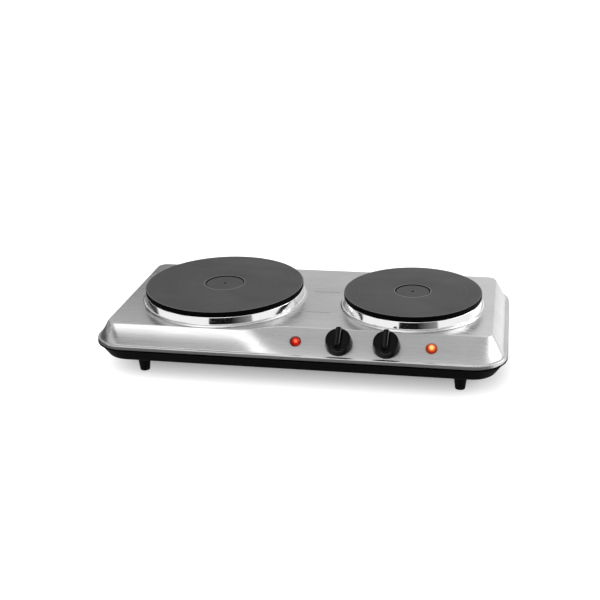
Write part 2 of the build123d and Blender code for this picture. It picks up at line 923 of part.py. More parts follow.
def make_thermostat_frame(plane):
    """Steel frame against the panel: spindle bush, two legs and tapped mounting holes."""
    with BuildPart() as frame:
        with BuildSketch(plane.offset(frame_w)):
            RectangleRounded(frame_width, frame_length, frame_sheet)
        extrude(amount=-frame_sheet)
        with BuildSketch(plane.offset(frame_w)):
            Circle(bush_radius)
        extrude(amount=bush_height - frame_w)
        with BuildSketch(plane.offset(frame_under_w)):
            with GridLocations(frame_width - frame_sheet, 0, 2, 1):
                Rectangle(frame_sheet, leg_width)
        extrude(amount=-leg_length)
        with BuildSketch(plane.offset(frame_under_w)):
            Circle(spindle_radius + spindle_gap)
            with GridLocations(mount_screw_spacing, 0, 2, 1):
                Circle(mount_screw_radius + thread_gap)
        extrude(amount=bush_height - frame_under_w, mode=Mode.SUBTRACT)
    return frame.part


def make_thermostat_base(plane):
    """Ceramic base between the frame's legs, slotted for the tabs and bored for the tail."""
    with BuildPart() as base:
        with BuildSketch(plane.offset(leg_end_w)):
            Rectangle(frame_width - 2 * frame_sheet, base_length)
            with Locations(*tab_points):
                Rectangle(tab_width + tab_gap, tab_thickness + tab_gap, mode=Mode.SUBTRACT)
        extrude(amount=base_thickness)
        with BuildSketch(plane.offset(base_top_w)):
            Circle(tail_radius + tail_gap)
        extrude(amount=-tail_length, mode=Mode.SUBTRACT)
    return base.part


def make_thermostat_tabs(plane):
    """Two terminal tabs through the base: one ends in a contact, one in the leaf's pivot."""
    fixed_point, pivot_point = tab_points
    with BuildPart() as tabs:
        with BuildSketch(plane.offset(tab_end_w)):
            with Locations(*tab_points):
                Rectangle(tab_width, tab_thickness)
        extrude(amount=base_top_w - tab_end_w)
        with BuildSketch(plane.offset(base_top_w)):
            with Locations(fixed_point):
                Rectangle(tab_width, tab_thickness)
        extrude(amount=leaf_top_w - base_top_w)
        with BuildSketch(plane.offset(base_top_w)):
            with Locations(pivot_point):
                Circle(pivot_radius)
        extrude(amount=leaf_top_w - base_top_w)
        contact_center = plane.from_local_coords((contact_x, fixed_face_y, leaf_w + leaf_width / 2))
        with BuildSketch(Plane(contact_center, x_dir=plane.x_dir, z_dir=plane.y_dir)):
            Circle(contact_radius)
        extrude(amount=-fixed_contact_height)
    return tabs.part


def make_contact_leaf(plane):
    """Contact leaf: an eye on the pivot, a nose on the cam and a contact at its free end."""
    nose_y = cam_radius + follower_gap + follower_radius
    with BuildPart() as leaf:
        with BuildSketch(plane.offset(leaf_w)):
            with Locations((leaf_pivot_x - leaf_span / 2, leaf_pivot_y)):
                Rectangle(leaf_span, leaf_thickness)
            with Locations((0, nose_y)):
                Circle(follower_radius)
            with Locations((0, (nose_y + leaf_pivot_y) / 2)):
                Rectangle(2 * follower_radius, leaf_pivot_y - nose_y)
            with Locations((leaf_pivot_x, leaf_pivot_y)):
                Circle(leaf_eye_radius)
                Circle(pivot_radius + pivot_gap, mode=Mode.SUBTRACT)
        extrude(amount=leaf_width)
        contact_center = plane.from_local_coords((contact_x, leaf_face_y, leaf_w + leaf_width / 2))
        with BuildSketch(Plane(contact_center, x_dir=plane.x_dir, z_dir=plane.y_dir)):
            Circle(contact_radius)
        extrude(amount=-contact_height)
    return leaf.part


def make_thermostat_screws():
    """Two screws a thermostat, through the panel under the knob into the frame."""
    with BuildPart() as screws:
        for plane in knob_planes.values():
            with BuildSketch(plane):
                with GridLocations(mount_screw_spacing, 0, 2, 1):
                    Circle(mount_screw_head_radius)
            extrude(amount=mount_screw_head_height)
            with BuildSketch(plane):
                with GridLocations(mount_screw_spacing, 0, 2, 1):
                    Circle(mount_screw_radius)
            extrude(amount=frame_under_w - mount_screw_tail)
    return screws.part


def make_lamp_lens(plane):
    """Domed lens with a flange on the panel and a hollow stem through it."""
    dome_radius = lens_flange_radius - lens_dome_inset
    crown_w = lens_flange_height + lens_dome_height
    bore = lens_stem_radius - lens_wall
    sphere = (dome_radius**2 + lens_dome_height**2) / (2 * lens_dome_height)
    dome_angle = atan2(dome_radius, sphere - lens_dome_height)
    section = Plane(plane.origin, x_dir=plane.x_dir, z_dir=-plane.y_dir)
    with BuildPart() as lens:
        with BuildSketch(section):
            with BuildLine():
                dome = JernArc((0, crown_w), (1, 0), sphere, -degrees(dome_angle))
                Polyline(
                    (0, crown_w),
                    (0, crown_w - 2 * lens_wall),
                    (bore, lens_flange_height),
                    (bore, -lens_stem_length),
                    (lens_stem_radius, -lens_stem_length),
                    (lens_stem_radius, 0),
                    (lens_flange_radius, 0),
                    (lens_flange_radius, lens_flange_height),
                    dome @ 1,
                )
            make_face()
        revolve(axis=Axis(plane.origin, plane.z_dir))
    return lens.part


def make_lamp_clips():
    """Spring washers that hold the lenses' stems behind the panel."""
    with BuildPart() as clips:
        for plane in lamp_planes.values():
            with BuildSketch(plane.offset(frame_w)):
                Circle(clip_radius)
                Circle(lens_stem_radius + clip_gap, mode=Mode.SUBTRACT)
            extrude(amount=-clip_thickness)
    return clips.part


def make_lamp_holder(plane):
    """Moulded holder that plugs the end of the stem."""
    with BuildPart() as holder:
        with BuildSketch(plane.offset(-lens_stem_length)):
            Circle(lens_stem_radius - lens_wall - holder_gap)
        extrude(amount=holder_plug_depth)
        with BuildSketch(plane.offset(-lens_stem_length)):
            Circle(holder_flange_radius)
        extrude(amount=-holder_flange_height)
    return holder.part


def make_lamp_bulb(plane):
    """Round ended neon bulb standing on its holder inside the stem."""
    foot_w = holder_plug_depth - lens_stem_length
    with BuildPart() as bulb:
        with BuildSketch(plane.offset(foot_w)):
            Circle(bulb_radius)
        extrude(amount=bulb_length)
        fillet(bulb.faces().sort_by(Axis(plane.origin, plane.z_dir))[-1].edges(), bulb_radius / 2)
    return bulb.part


def make_cord_gland():
    """Moulded cord bush snapped into the pan's rear wall."""
    plane = gland_plane()
    snap_w = -pan_sheet - gland_gap
    with BuildPart() as gland:
        with BuildSketch(plane):
            Circle(gland_flange_radius)
        extrude(amount=gland_flange_height)
        with BuildSketch(plane):
            Circle(gland_body_radius)
        extrude(amount=snap_w)
        with BuildSketch(plane.offset(snap_w)):
            Circle(gland_snap_radius)
        extrude(amount=-gland_snap_height)
        with BuildSketch(plane.offset(gland_flange_height)):
            Circle(gland_bore_radius)
        extrude(amount=snap_w - gland_snap_height - gland_flange_height, mode=Mode.SUBTRACT)
    return gland.part


block_plane = Plane((middle_x, block_y, pan_floor_z))
block_top = block_plane.offset(block_height)


def make_terminal_block():
    """Three way ceramic block with notched partitions, wire bores and screw holes."""
    with BuildPart() as block:
        with BuildSketch(block_plane):
            RectangleRounded(block_length, block_width, block_wall_notch / 2)
        extrude(amount=block_height)
        with BuildSketch(block_top):
            with GridLocations(block_pitch, 0, 2, 1):
                Rectangle(block_wall_notch, block_width)
        extrude(amount=-block_wall_notch, mode=Mode.SUBTRACT)
        with BuildSketch(block_top):
            with GridLocations(block_pitch, 0, 3, 1):
                Circle(block_screw_radius + thread_gap)
        extrude(amount=-block_screw_depth, mode=Mode.SUBTRACT)
        wire_level = block_plane.offset(block_height / 2)
        with BuildSketch(Plane(wire_level.origin, x_dir=(1, 0, 0), z_dir=(0, -1, 0))):
            with GridLocations(block_pitch, 0, 3, 1):
                Circle(block_bore_radius)
        extrude(amount=block_width / 2, both=True, mode=Mode.SUBTRACT)
        with BuildSketch(block_plane):
            Circle(fixing_screw_radius + thread_gap)
        extrude(amount=fixing_screw_grip, mode=Mode.SUBTRACT)
    return block.part


def make_block_screws():
    """Three brass clamping screws in the top of the terminal block."""
    with BuildPart() as screws:
        with BuildSketch(block_top):
            with GridLocations(block_pitch, 0, 3, 1):
                Circle(block_screw_head_radius)
        extrude(amount=block_screw_head_height)
        with BuildSketch(block_top):
            with GridLocations(block_pitch, 0, 3, 1):
                Circle(block_screw_radius)
        extrude(amount=-block_screw_length)
    return screws.part


def make_fixing_screw():
    """Screw from under the pan into the terminal block."""
    head = Plane((middle_x, block_y, foot_height))
    with BuildPart() as screw:
        with BuildSketch(head):
            Circle(fixing_screw_head_radius)
        extrude(amount=-fixing_screw_head_height)
        with BuildSketch(head):
            Circle(fixing_screw_radius)
        extrude(amount=pan_sheet + fixing_screw_grip)
    return screw.part


def make_earth_screw():
    """Earth screw through the pan's floor, with its nut."""
    head = Plane((*earth_point, foot_height))
    with BuildPart() as screw:
        with BuildSketch(head):
            Circle(fixing_screw_head_radius)
        extrude(amount=-fixing_screw_head_height)
        with BuildSketch(head):
            Circle(fixing_screw_radius)
        extrude(amount=earth_screw_length)
        with BuildSketch(head.offset(pan_sheet)):
            RegularPolygon(earth_nut_flats / 2, 6, major_radius=False)
            Circle(fixing_screw_radius + thread_gap, mode=Mode.SUBTRACT)
        extrude(amount=earth_nut_height)
    return screw.part


def tab_lead(side, tab, shift):
    """End and first bend of a lead that leaves a thermostat tab along the spindle's line."""
    x, y = tab_points[tab]
    plane = knob_planes[side]
    end = plane.from_local_coords((x + shift, y, tab_end_w))
    return [end, plane.from_local_coords((x + shift, y, tab_end_w - lead_stub))]


def pin_lead(burner, pin, shift, z):
    """First bend and end of a lead that rises to a heater pin from height z."""
    x, y = burner.pin_points()[pin]
    return [Vector(burner.x + x, y + shift, z), Vector(burner.x + x, y + shift, pin_end_z)]


def bend_radii(points):
    """The largest bend at each corner that leaves a tenth of the shorter run straight."""
    radii = []
    for before, corner, after in zip(points, points[1:], points[2:]):
        run = min((corner - before).length, (after - corner).length)
        turn = radians((corner - before).get_angle(after - corner))
        radii.append(lead_bend_share * run / tan(turn / 2))
    return radii


def make_leads(routes):
    """Round leads along their routes, one solid each."""
    with BuildPart() as leads:
        for route in routes:
            points = [Vector(*point) for point in route]
            radii = bend_radii(points)
            with BuildLine(mode=Mode.PRIVATE) as path:
                FilletPolyline(*points, radius=radii)
            with BuildSketch(Plane(path.line @ 0, z_dir=path.line % 0)):
                Circle(lead_radius)
            sweep(path=path.line)
    return leads.part


def make_earth_lead():
    """Straight lead from the block's earth way to the earth screw."""
    start = Plane((way_x[2], block_front_y, wire_z), x_dir=(1, 0, 0), z_dir=(0, -1, 0))
    with BuildPart() as lead:
        with BuildSketch(start):
            Circle(lead_radius)
        extrude(amount=block_front_y - earth_point[1] - fixing_screw_radius - lead_gap)
    return lead.part


left_burner, right_burner = burners
pair_shift = lead_radius + lead_gap

# Routes chosen by hand: thermostat to heater, block to thermostats, block to heaters
heater_routes = [
    [
        *tab_lead("left", 0, 0),
        (0, -58, lead_low_z),
        (-42, -52, lead_low_z + 2),
        *pin_lead(left_burner, 0, 0, lead_link_z),
    ],
    [
        *tab_lead("right", 0, 0),
        (95, -50, lead_low_z),
        *pin_lead(right_burner, 1, 0, lead_link_z),
    ],
]
live_routes = [
    [
        (way_x[1], block_front_y, wire_z),
        (way_x[1], 28, wire_z),
        (26, -8, lead_low_z + 1),
        (46, -44, lead_low_z + 2),
        *reversed(tab_lead("left", 1, -pair_shift)),
    ],
    [
        *tab_lead("left", 1, pair_shift),
        (76, -58, lead_link_z),
        (100, -57, lead_link_z),
        *reversed(tab_lead("right", 1, 0)),
    ],
]
neutral_routes = [
    [
        (way_x[0], block_front_y, wire_z),
        (way_x[0], 30, wire_z),
        (-12, 8, lead_low_z + 2),
        (-42, -8, lead_low_z + 3),
        *pin_lead(left_burner, 1, pair_shift, lead_link_z),
    ],
    [
        *reversed(pin_lead(left_burner, 1, -pair_shift, lead_high_z)),
        (-32, -19, lead_high_z),
        (20, -15, lead_high_z),
        (58, -17, lead_high_z),
        *pin_lead(right_burner, 0, 0, lead_high_z + 1),
    ],
]

save(make_top_housing(), "top_housing")
save(make_base_pan(), "base_pan")
for (x, y), name in zip(foot_points, ("front_left", "front_right", "rear_left", "rear_right")):
    save(make_foot(x, y), f"{name}_foot")
save(make_foot_screws(), "foot_screws")
save(make_corner_posts(), "corner_posts")
for burner in burners:
    save(make_plate(burner), f"{burner.side}_plate")
    save(make_heating_element(burner), f"{burner.side}_heating_element")
    save(make_spill_ring(burner), f"{burner.side}_spill_ring")
    save(make_heat_shield(burner), f"{burner.side}_heat_shield")
    save(make_clamp_bar(burner), f"{burner.side}_clamp_bar")
    save(make_stud(burner), f"{burner.side}_stud")
    save(make_stud_spacer(burner), f"{burner.side}_stud_spacer")
    save(make_terminal_pins(burner), f"{burner.side}_terminal_pins")
    save(make_pin_beads(burner), f"{burner.side}_pin_beads")
save(make_stud_washers(), "stud_washers")
save(make_stud_nuts(), "stud_nuts")
for side, plane in knob_planes.items():
    save(make_knob(plane), f"{side}_knob")
    save(make_knob_spring(plane), f"{side}_knob_spring")
    save(make_spindle(plane), f"{side}_spindle")
    save(make_thermostat_frame(plane), f"{side}_thermostat_frame")
    save(make_thermostat_base(plane), f"{side}_thermostat_base")
    save(make_thermostat_tabs(plane), f"{side}_thermostat_tabs")
    save(make_contact_leaf(plane), f"{side}_contact_leaf")
save(make_thermostat_screws(), "thermostat_screws")
for side, plane in lamp_planes.items():
    save(make_lamp_lens(plane), f"{side}_lamp_lens")
    save(make_lamp_holder(plane), f"{side}_lamp_holder")
    save(make_lamp_bulb(plane), f"{side}_lamp_bulb")
save(make_lamp_clips(), "lamp_clips")
save(make_cord_gland(), "cord_gland")
save(make_terminal_block(), "terminal_block")
save(make_block_screws(), "block_screws")
save(make_fixing_screw(), "fixing_screw")
save(make_earth_screw(), "earth_screw")
save(make_leads(heater_routes), "heater_leads")
save(make_leads(live_routes), "live_leads")
save(make_leads(neutral_routes), "neutral_leads")
save(make_earth_lead(), "earth_lead")
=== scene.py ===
"""Looks of a double hot plate: its finishes, the pieces remade as fine meshes, and the studio round it."""

import json
import math

import bmesh
import bpy
from mathutils import Matrix, Vector


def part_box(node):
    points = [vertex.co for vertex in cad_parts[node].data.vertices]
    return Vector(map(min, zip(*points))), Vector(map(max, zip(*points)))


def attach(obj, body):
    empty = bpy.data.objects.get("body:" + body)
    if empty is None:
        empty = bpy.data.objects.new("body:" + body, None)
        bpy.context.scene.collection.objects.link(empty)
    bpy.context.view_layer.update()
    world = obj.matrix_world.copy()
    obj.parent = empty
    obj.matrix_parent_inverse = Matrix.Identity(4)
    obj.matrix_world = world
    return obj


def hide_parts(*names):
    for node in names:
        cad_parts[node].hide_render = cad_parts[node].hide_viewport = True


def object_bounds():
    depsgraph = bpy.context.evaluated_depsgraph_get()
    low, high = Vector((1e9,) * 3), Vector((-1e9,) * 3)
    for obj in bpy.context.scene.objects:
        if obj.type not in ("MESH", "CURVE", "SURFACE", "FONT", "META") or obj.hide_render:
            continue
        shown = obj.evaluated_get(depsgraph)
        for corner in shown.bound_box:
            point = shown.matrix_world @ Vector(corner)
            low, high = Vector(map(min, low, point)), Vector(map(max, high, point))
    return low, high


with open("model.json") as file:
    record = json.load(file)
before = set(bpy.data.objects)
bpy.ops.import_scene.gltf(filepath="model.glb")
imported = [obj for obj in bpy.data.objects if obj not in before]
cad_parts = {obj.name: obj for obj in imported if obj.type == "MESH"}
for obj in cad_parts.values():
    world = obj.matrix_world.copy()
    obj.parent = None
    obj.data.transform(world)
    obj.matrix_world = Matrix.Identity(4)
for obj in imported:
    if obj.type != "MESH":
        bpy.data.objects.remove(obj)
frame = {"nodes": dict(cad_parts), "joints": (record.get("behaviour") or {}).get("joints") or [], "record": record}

bl_info = {
    "name": "Hot plate looks",
    "version": (1, 0, 0),
    "blender": (4, 5, 0),
    "location": "3D View > Sidebar > Hot plate",
    "description": "Dresses the solids of a double hot plate and sets up its studio",
    "category": "Object",
}

MM = 0.001
FRAME_PIXELS = 600
SENSOR_MM = 36.0
SIDES = ("left", "right")
FOOT_CORNERS = ("front_left", "front_right", "rear_left", "rear_right")
CAD_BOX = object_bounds()
NODE_SLOTS = {part["node"]: part["material_slot"] for part in frame["record"]["subparts"]}

# Fineness of the meshes
ROUND_STEPS = 5
SLOT_STEPS = 12
DOME_STEPS = 14
SHARP_DEGREES = 35
ON_AXIS = 1e-7

# Housing: height of the collars that carry the spill rings
COLLAR_HEIGHT = 1.5 * MM

# Plates: rounds, groove round the recess, and the slope and depth up to which a face counts as coated;
# steeper or deeper faces take the black of the sides, which in the recess's wall, groove and dimple is painted
# shade
PLATE_FOOT_ROUND = 0.4 * MM
RECESS_ROUND = 0.2 * MM
RECESS_GROOVE_DEPTH = 0.4 * MM
RECESS_GROOVE_FLOOR = 0.9 * MM
RECESS_GROOVE_MOUTH = 1.3 * MM
DIMPLE_ROUND = 0.3 * MM
COATED_SLOPE = 0.93
COATED_DEPTH = 0.1 * MM

# Plates: where the pale rings lie, partly worn coating and partly painted highlight on the rounded edges, and how
# far from there they are full and have faded away
PALE_RING_IN_FROM_EDGE = 0.45 * MM
PALE_RING_OUT_FROM_RECESS = 0.4 * MM
PALE_RING_FULL = 0.2 * MM
PALE_RING_FADED = 0.8 * MM

# Spill rings
RING_SHOULDER_INSET = 0.4 * MM
RING_BORE_GAP = 0.15 * MM
RING_EDGE_ROUND = 0.25 * MM

# Feet
FOOT_HOLE = 2.25 * MM
FOOT_COUNTERBORE = 3.65 * MM
FOOT_COUNTERBORE_DEPTH = 11 * MM
FOOT_COUNTERBORE_ROUND = 0.2 * MM
FOOT_TIP_ROUND = 0.45 * MM
FOOT_FLARE_DROP = 3.2 * MM
FOOT_FLARE_ROUND = 3.5 * MM
FOOT_RIM_ROUND = 0.01 * MM

# Knobs: hub and hollow underneath, wall, rim and rounds
KNOB_HUB = 5.5 * MM
KNOB_HUB_FOOT = 2.5 * MM
KNOB_HOLLOW = 5.0 * MM
KNOB_WALL = 1.5 * MM
KNOB_FOOT_ROUND = 0.4 * MM
KNOB_EDGE_ROUND = 0.9 * MM
KNOB_RIM_WIDTH = 1.2 * MM
KNOB_RIM_ROUND = 0.4 * MM
KNOB_DISH_ROUND = 0.5 * MM

# Finger bar's root, in mm: height over the face, length, growth of the foot's width, shift
BAR_ROOT = ((-1.5, 26.0, 0.8, 0.0), (0.4, 25.3, -0.3, 0.1))
# Finger bar's top edge and its groove's lip, in mm: drop below the top, growth of the outline
BAR_EDGE = ((0.9, 0.3), (0.7, 0.1), (0.1, -1.0), (0.0, -1.3))
BAR_LIP = ((0.0, 0.3), (0.1, 0.0))
BAR_GROOVE_INSET = 3 * MM
BAR_GROOVE_SLOPE = 0.9 * MM
# Power that makes the bar's ends squarer than half circles, which have 1
BAR_SQUARENESS = 0.6

# Lamp lenses: stem, rounds and shoulder, and the radii between which the glow turns to the dark rim
LENS_STEM = 4.4 * MM
LENS_STEM_DEPTH = 3 * MM
LENS_SEAT_ROUND = 0.15 * MM
LENS_EDGE_ROUND = 0.4 * MM
LENS_SHOULDER = 0.6 * MM
LENS_GLOW = 1.6 * MM
LENS_RIM = 4.5 * MM
# Share of a lamp's spot that is at its full brightness
LENS_HEART = 0.4

# Range that the values of a noise hardly leave
GRAIN_LOW = 0.3
GRAIN_HIGH = 0.7

# Floor, in metres: half its side, how far in from the object's sides the core of the painted shadow begins,
# where the floor's glow is least, how far out from there the paper's lift to white is full, and between which
# distances it fades a little again
FLOOR_HALF = 8.0
CORE_INSET = Vector((0.05, 0.09, 0))
LIFT_REACH = 0.075
FADE_NEAR = 0.1
FADE_FAR = 0.6
# Strength of that lift at the core of the painted shadow and at its fullest, and what it loses far out
LIFT_LEAST = 0.06
LIFT_MOST = 0.75
FADE_LOSS = 0.25
# Strength of the light that the white room gives
ROOM_LIGHT = 0.76

# Soft lights: name, azimuth and elevation in degrees, distance, width and height in metres, radiance
SOFTBOXES = (
    ("front_softbox", -18, 53, 1.7, (1.6, 0.6), 1.7),
    ("right_softbox", 98, 36, 1.6, (0.9, 0.8), 1.6),
    ("rear_softbox", 190, 60, 1.9, (1.6, 0.7), 1.2),
)
# Boards that only glossy pieces mirror, grey and black ones for the steel and a bright strip for the knobs:
# name, azimuth and elevation in degrees, distance, width and height in metres, tones at left and right
CARDS = (
    ("left_card", -99, 22, 1.0, (0.95, 0.4), 0.05, 0.05),
    ("low_left_card", -100, 4.3, 0.45, (0.5, 0.064), 0.05, 0.05),
    ("rear_left_card", -142, 8, 1.0, (0.55, 0.5), 0.05, 0.05),
    ("rear_card", -163, 24, 1.4, (0.7, 0.5), 0.7, 0.7),
    ("front_left_card", -38, 27, 1.5, (0.9, 0.4), 0.1, 0.9),
    ("front_card", 18.2, 11, 1.5, (1.65, 0.6), 0.008, 0.3),
    ("overhead_card", 0, 90, 2.3, (4.0, 4.0), 0.68, 0.68),
    ("right_strip", 111, 24, 1.5, (0.2, 0.5), 11.0, 11.0),
)
# Dark sheets on the floor beside the object that only the glossy pieces see, a painted reflection of shade on
# the floor: name, middle, width and depth in metres, tone
MIRRORED_SHADE_SHEETS = (
    ("front_shade_sheet", (-0.05, -0.30, 0.001), (1.0, 0.34), 0.2),
    ("left_shade_sheet", (-0.56, 0.02, 0.001), (0.6, 0.5), 0.12),
    ("right_shade_sheet", (0.25, 0.11, 0.001), (0.035, 0.46), 0.02),
)


def linear(code):
    """Linear colour, with full alpha, from an sRGB hex code."""
    parts = [int(code[at:at + 2], 16) / 255 for at in (0, 2, 4)]
    return [part / 12.92 if part <= 0.04045 else ((part + 0.055) / 1.055) ** 2.4 for part in parts] + [1.0]


def shade(name, description, code):
    """A colour property whose default is an sRGB hex code."""
    return bpy.props.FloatVectorProperty(
        name=name, description=description, default=linear(code), subtype="COLOR", size=4, min=0, max=1
    )


def span(name, description, millimetres):
    """A length property whose default is given in millimetres."""
    return bpy.props.FloatProperty(
        name=name, description=description, default=millimetres * MM, unit="LENGTH", precision=5
    )


def turn(name, description, degrees):
    """An angle property whose default is given in degrees."""
    return bpy.props.FloatProperty(
        name=name, description=description, default=math.radians(degrees), subtype="ANGLE"
    )


class HotPlateSizes(bpy.types.PropertyGroup):
    """Sizes of the pieces that are remade as fine meshes"""

    plate_overhang: span("Plate overhang", "How far a plate's edge stands out over its ring", 2.5)
    plate_round: span("Plate edge round", "Radius along a plate's top edge", 0.7)
    left_recess: span("Left recess", "Diameter of the large plate's recess", 46.0)
    right_recess: span("Right recess", "Diameter of the small plate's recess", 40.0)
    recess_depth: span("Recess depth", "Depth of a plate's recess", 0.8)
    dimple: span("Dimple", "Radius of the dimple at a plate's centre", 1.8)
    ring_sheet: span("Ring sheet", "Thickness of a spill ring", 0.7)
    ring_foot: span("Ring foot", "Width of the flat foot of a spill ring", 1.0)
    ring_gap: span("Ring gap", "Gap between a spill ring and the edge of its plate", 0.8)
    ring_round: span("Ring round", "Radius of a spill ring's bends", 0.5)
    knob_gap: span("Knob gap", "Gap between a knob's skirt and the panel", 0.8)
    knob_face: span("Knob face", "Radius of a knob's face", 13.4)
    knob_height: span("Knob height", "Height of a knob's face rim over the panel", 10.4)
    knob_dish: span("Knob dish", "Depth of a knob's face within its rim", 0.7)
    grip_height: span("Grip height", "Height of the finger bar over the face rim", 5.0)
    grip_width: span("Grip width", "Width of the finger bar's top", 5.6)
    grip_foot: span("Grip foot", "Width of the finger bar where it meets the face", 9.0)
    grip_length: span("Grip length", "Length of the finger bar's top", 22.6)
    grip_shift: span("Grip shift", "How far the bar's top stands towards its pointing end", 1.2)
    groove_width: span("Groove width", "Width of the groove along the finger bar", 2.4)
    groove_depth: span("Groove depth", "Depth of the groove along the finger bar", 0.5)
    foot_tip: span("Foot tip", "Radius of a foot at the ground", 5.5)
    foot_shoulder: span("Foot shoulder", "Radius of a foot under its flange", 8.1)
    skirt_foot: span("Skirt foot", "Height of the housing's rim over the ground", 46.0)
    skirt_crown: span("Skirt crown", "How far the press leaves the housing's sides crowned", 0.8)
    lens_dome: span("Lens dome", "Height of a lamp lens over its flange", 4.4)
    lens_flange: span("Lens flange", "Thickness of a lamp lens's flange", 1.2)


class HotPlateFinish(bpy.types.PropertyGroup):
    """Colours and grain of the finishes"""

    stainless: shade("Stainless", "Brushed stainless of the housing", "c6c6c7")
    polished: shade("Polished", "Polished stainless of the spill rings", "f0f0f0")
    coating: shade("Coating", "Heat proof coating on the plates' tops", "3b3b3b")
    coating_worn_and_highlit: shade("Coating, worn", "Coating rubbed thin on a plate's edge", "7d7d7c")
    # Also painted shade on a recess's wall, groove and dimple.
    blacking_and_shade: shade("Blacking", "Sides of the plates", "060606")
    paint: shade("Paint", "Paint of the pan", "030303")
    # Also the painted highlight along a plate's edge and round its recess.
    rubber: shade("Rubber", "Feet", "0b0b0b")
    phenolic: shade("Phenolic", "Knobs", "040404")
    left_glow: shade("Left lamp", "Glow of the left pilot lamp's lens", "c81408")
    right_glow: shade("Right lamp", "Glow of the right pilot lamp's lens", "ef6a1c")
    scratch_width: span("Scratch width", "Spacing of the brushed lines, drawn coarse enough to show", 0.8)
    scratch_length: span("Scratch length", "Length of the brushed lines", 45.0)
    turning_pitch: span("Turning pitch", "Spacing of the turned lines, drawn coarse enough to show", 1.1)


class HotPlateStudio(bpy.types.PropertyGroup):
    """Camera and lights"""

    azimuth: turn("Azimuth", "Camera's turn to the right of the front", 11.887)
    elevation: turn("Elevation", "Camera's height above the horizon", 21.77)
    roll: turn("Roll", "Camera's roll", -1.792)
    distance: span("Distance", "Camera's distance from its target", 1247.25)
    target_x: span("Target x", "Point that the camera looks at, to the right", -17.881)
    target_y: span("Target y", "Point that the camera looks at, to the rear", 36.082)
    target_z: span("Target z", "Point that the camera looks at, above the ground", 50.0)
    focal_pixels: bpy.props.FloatProperty(
        name="Focal length", description="Focal length in pixels of the square frame", default=1039.73
    )
    floor: shade("Floor", "Pale studio floor", "dedede")


def add_node(tree, kind, inputs=None, **settings):
    """Add a shader node with its settings, and set or link its inputs."""
    node = tree.nodes.new("ShaderNode" + kind)
    for name, value in settings.items():
        setattr(node, name, value)
    for name, value in (inputs or {}).items():
        if isinstance(value, bpy.types.NodeSocket):
            tree.links.new(value, node.inputs[name])
        else:
            node.inputs[name].default_value = value
    return node


def blank_material(name):
    """A new material with an empty node tree."""
    material = bpy.data.materials.new(name)
    material.use_nodes = True
    material.node_tree.nodes.clear()
    return material, material.node_tree


def grain(tree, size, detail=2.0):
    """Pattern of grains on the piece's own coordinates, of one size or of three along x, y and z."""
    lengths = size if isinstance(size, tuple) else (size, size, size)
    place = add_node(tree, "TexCoord").outputs["Object"]
    scaled = add_node(tree, "Mapping", {"Vector": place, "Scale": [1 / length for length in lengths]})
    noise = add_node(tree, "TexNoise", {"Vector": scaled.outputs["Vector"], "Scale": 1.0, "Detail": detail})
    return noise.outputs["Fac"]


def grain_tones(tree, pattern, low, high):
    """Colour that goes from low to high with a grain pattern."""
    ease = add_node(tree, "MapRange", {"Value": pattern, "From Min": GRAIN_LOW, "From Max": GRAIN_HIGH})
    mixed = add_node(tree, "Mix", {0: ease.outputs["Result"], 6: low, 7: high}, data_type="RGBA")
    return mixed.outputs[2]


def scaled_colour(colour, share):
    """A colour made lighter or darker by a share."""
    return [min(1.0, part * share) for part in colour[:3]] + [1.0]


def grained_material(name, size, tones, roughness, relief=None, values=None, detail=2.0):
    """Material whose look follows one grain of this size.

    tones is one colour or the two that the grain goes between, roughness its lowest and highest, relief
    the strength and depth of the bumps, and values are set on the shader as they are.
    """
    material, tree = blank_material(name)
    pattern = grain(tree, size, detail)
    low, high = roughness
    rough = add_node(tree, "MapRange", {
        "Value": pattern, "From Min": GRAIN_LOW, "From Max": GRAIN_HIGH, "To Min": low, "To Max": high,
    })
    inputs = {"Roughness": rough.outputs["Result"], **(values or {})}
    inputs["Base Color"] = tones[0] if len(tones) == 1 else grain_tones(tree, pattern, *tones)
    if relief:
        strength, depth = relief
        bump = add_node(tree, "Bump", {"Height": pattern, "Strength": strength, "Distance": depth})
        inputs["Normal"] = bump.outputs["Normal"]
    shader = add_node(tree, "BsdfPrincipled", inputs)
    add_node(tree, "OutputMaterial", {"Surface": shader.outputs["BSDF"]})
    return material


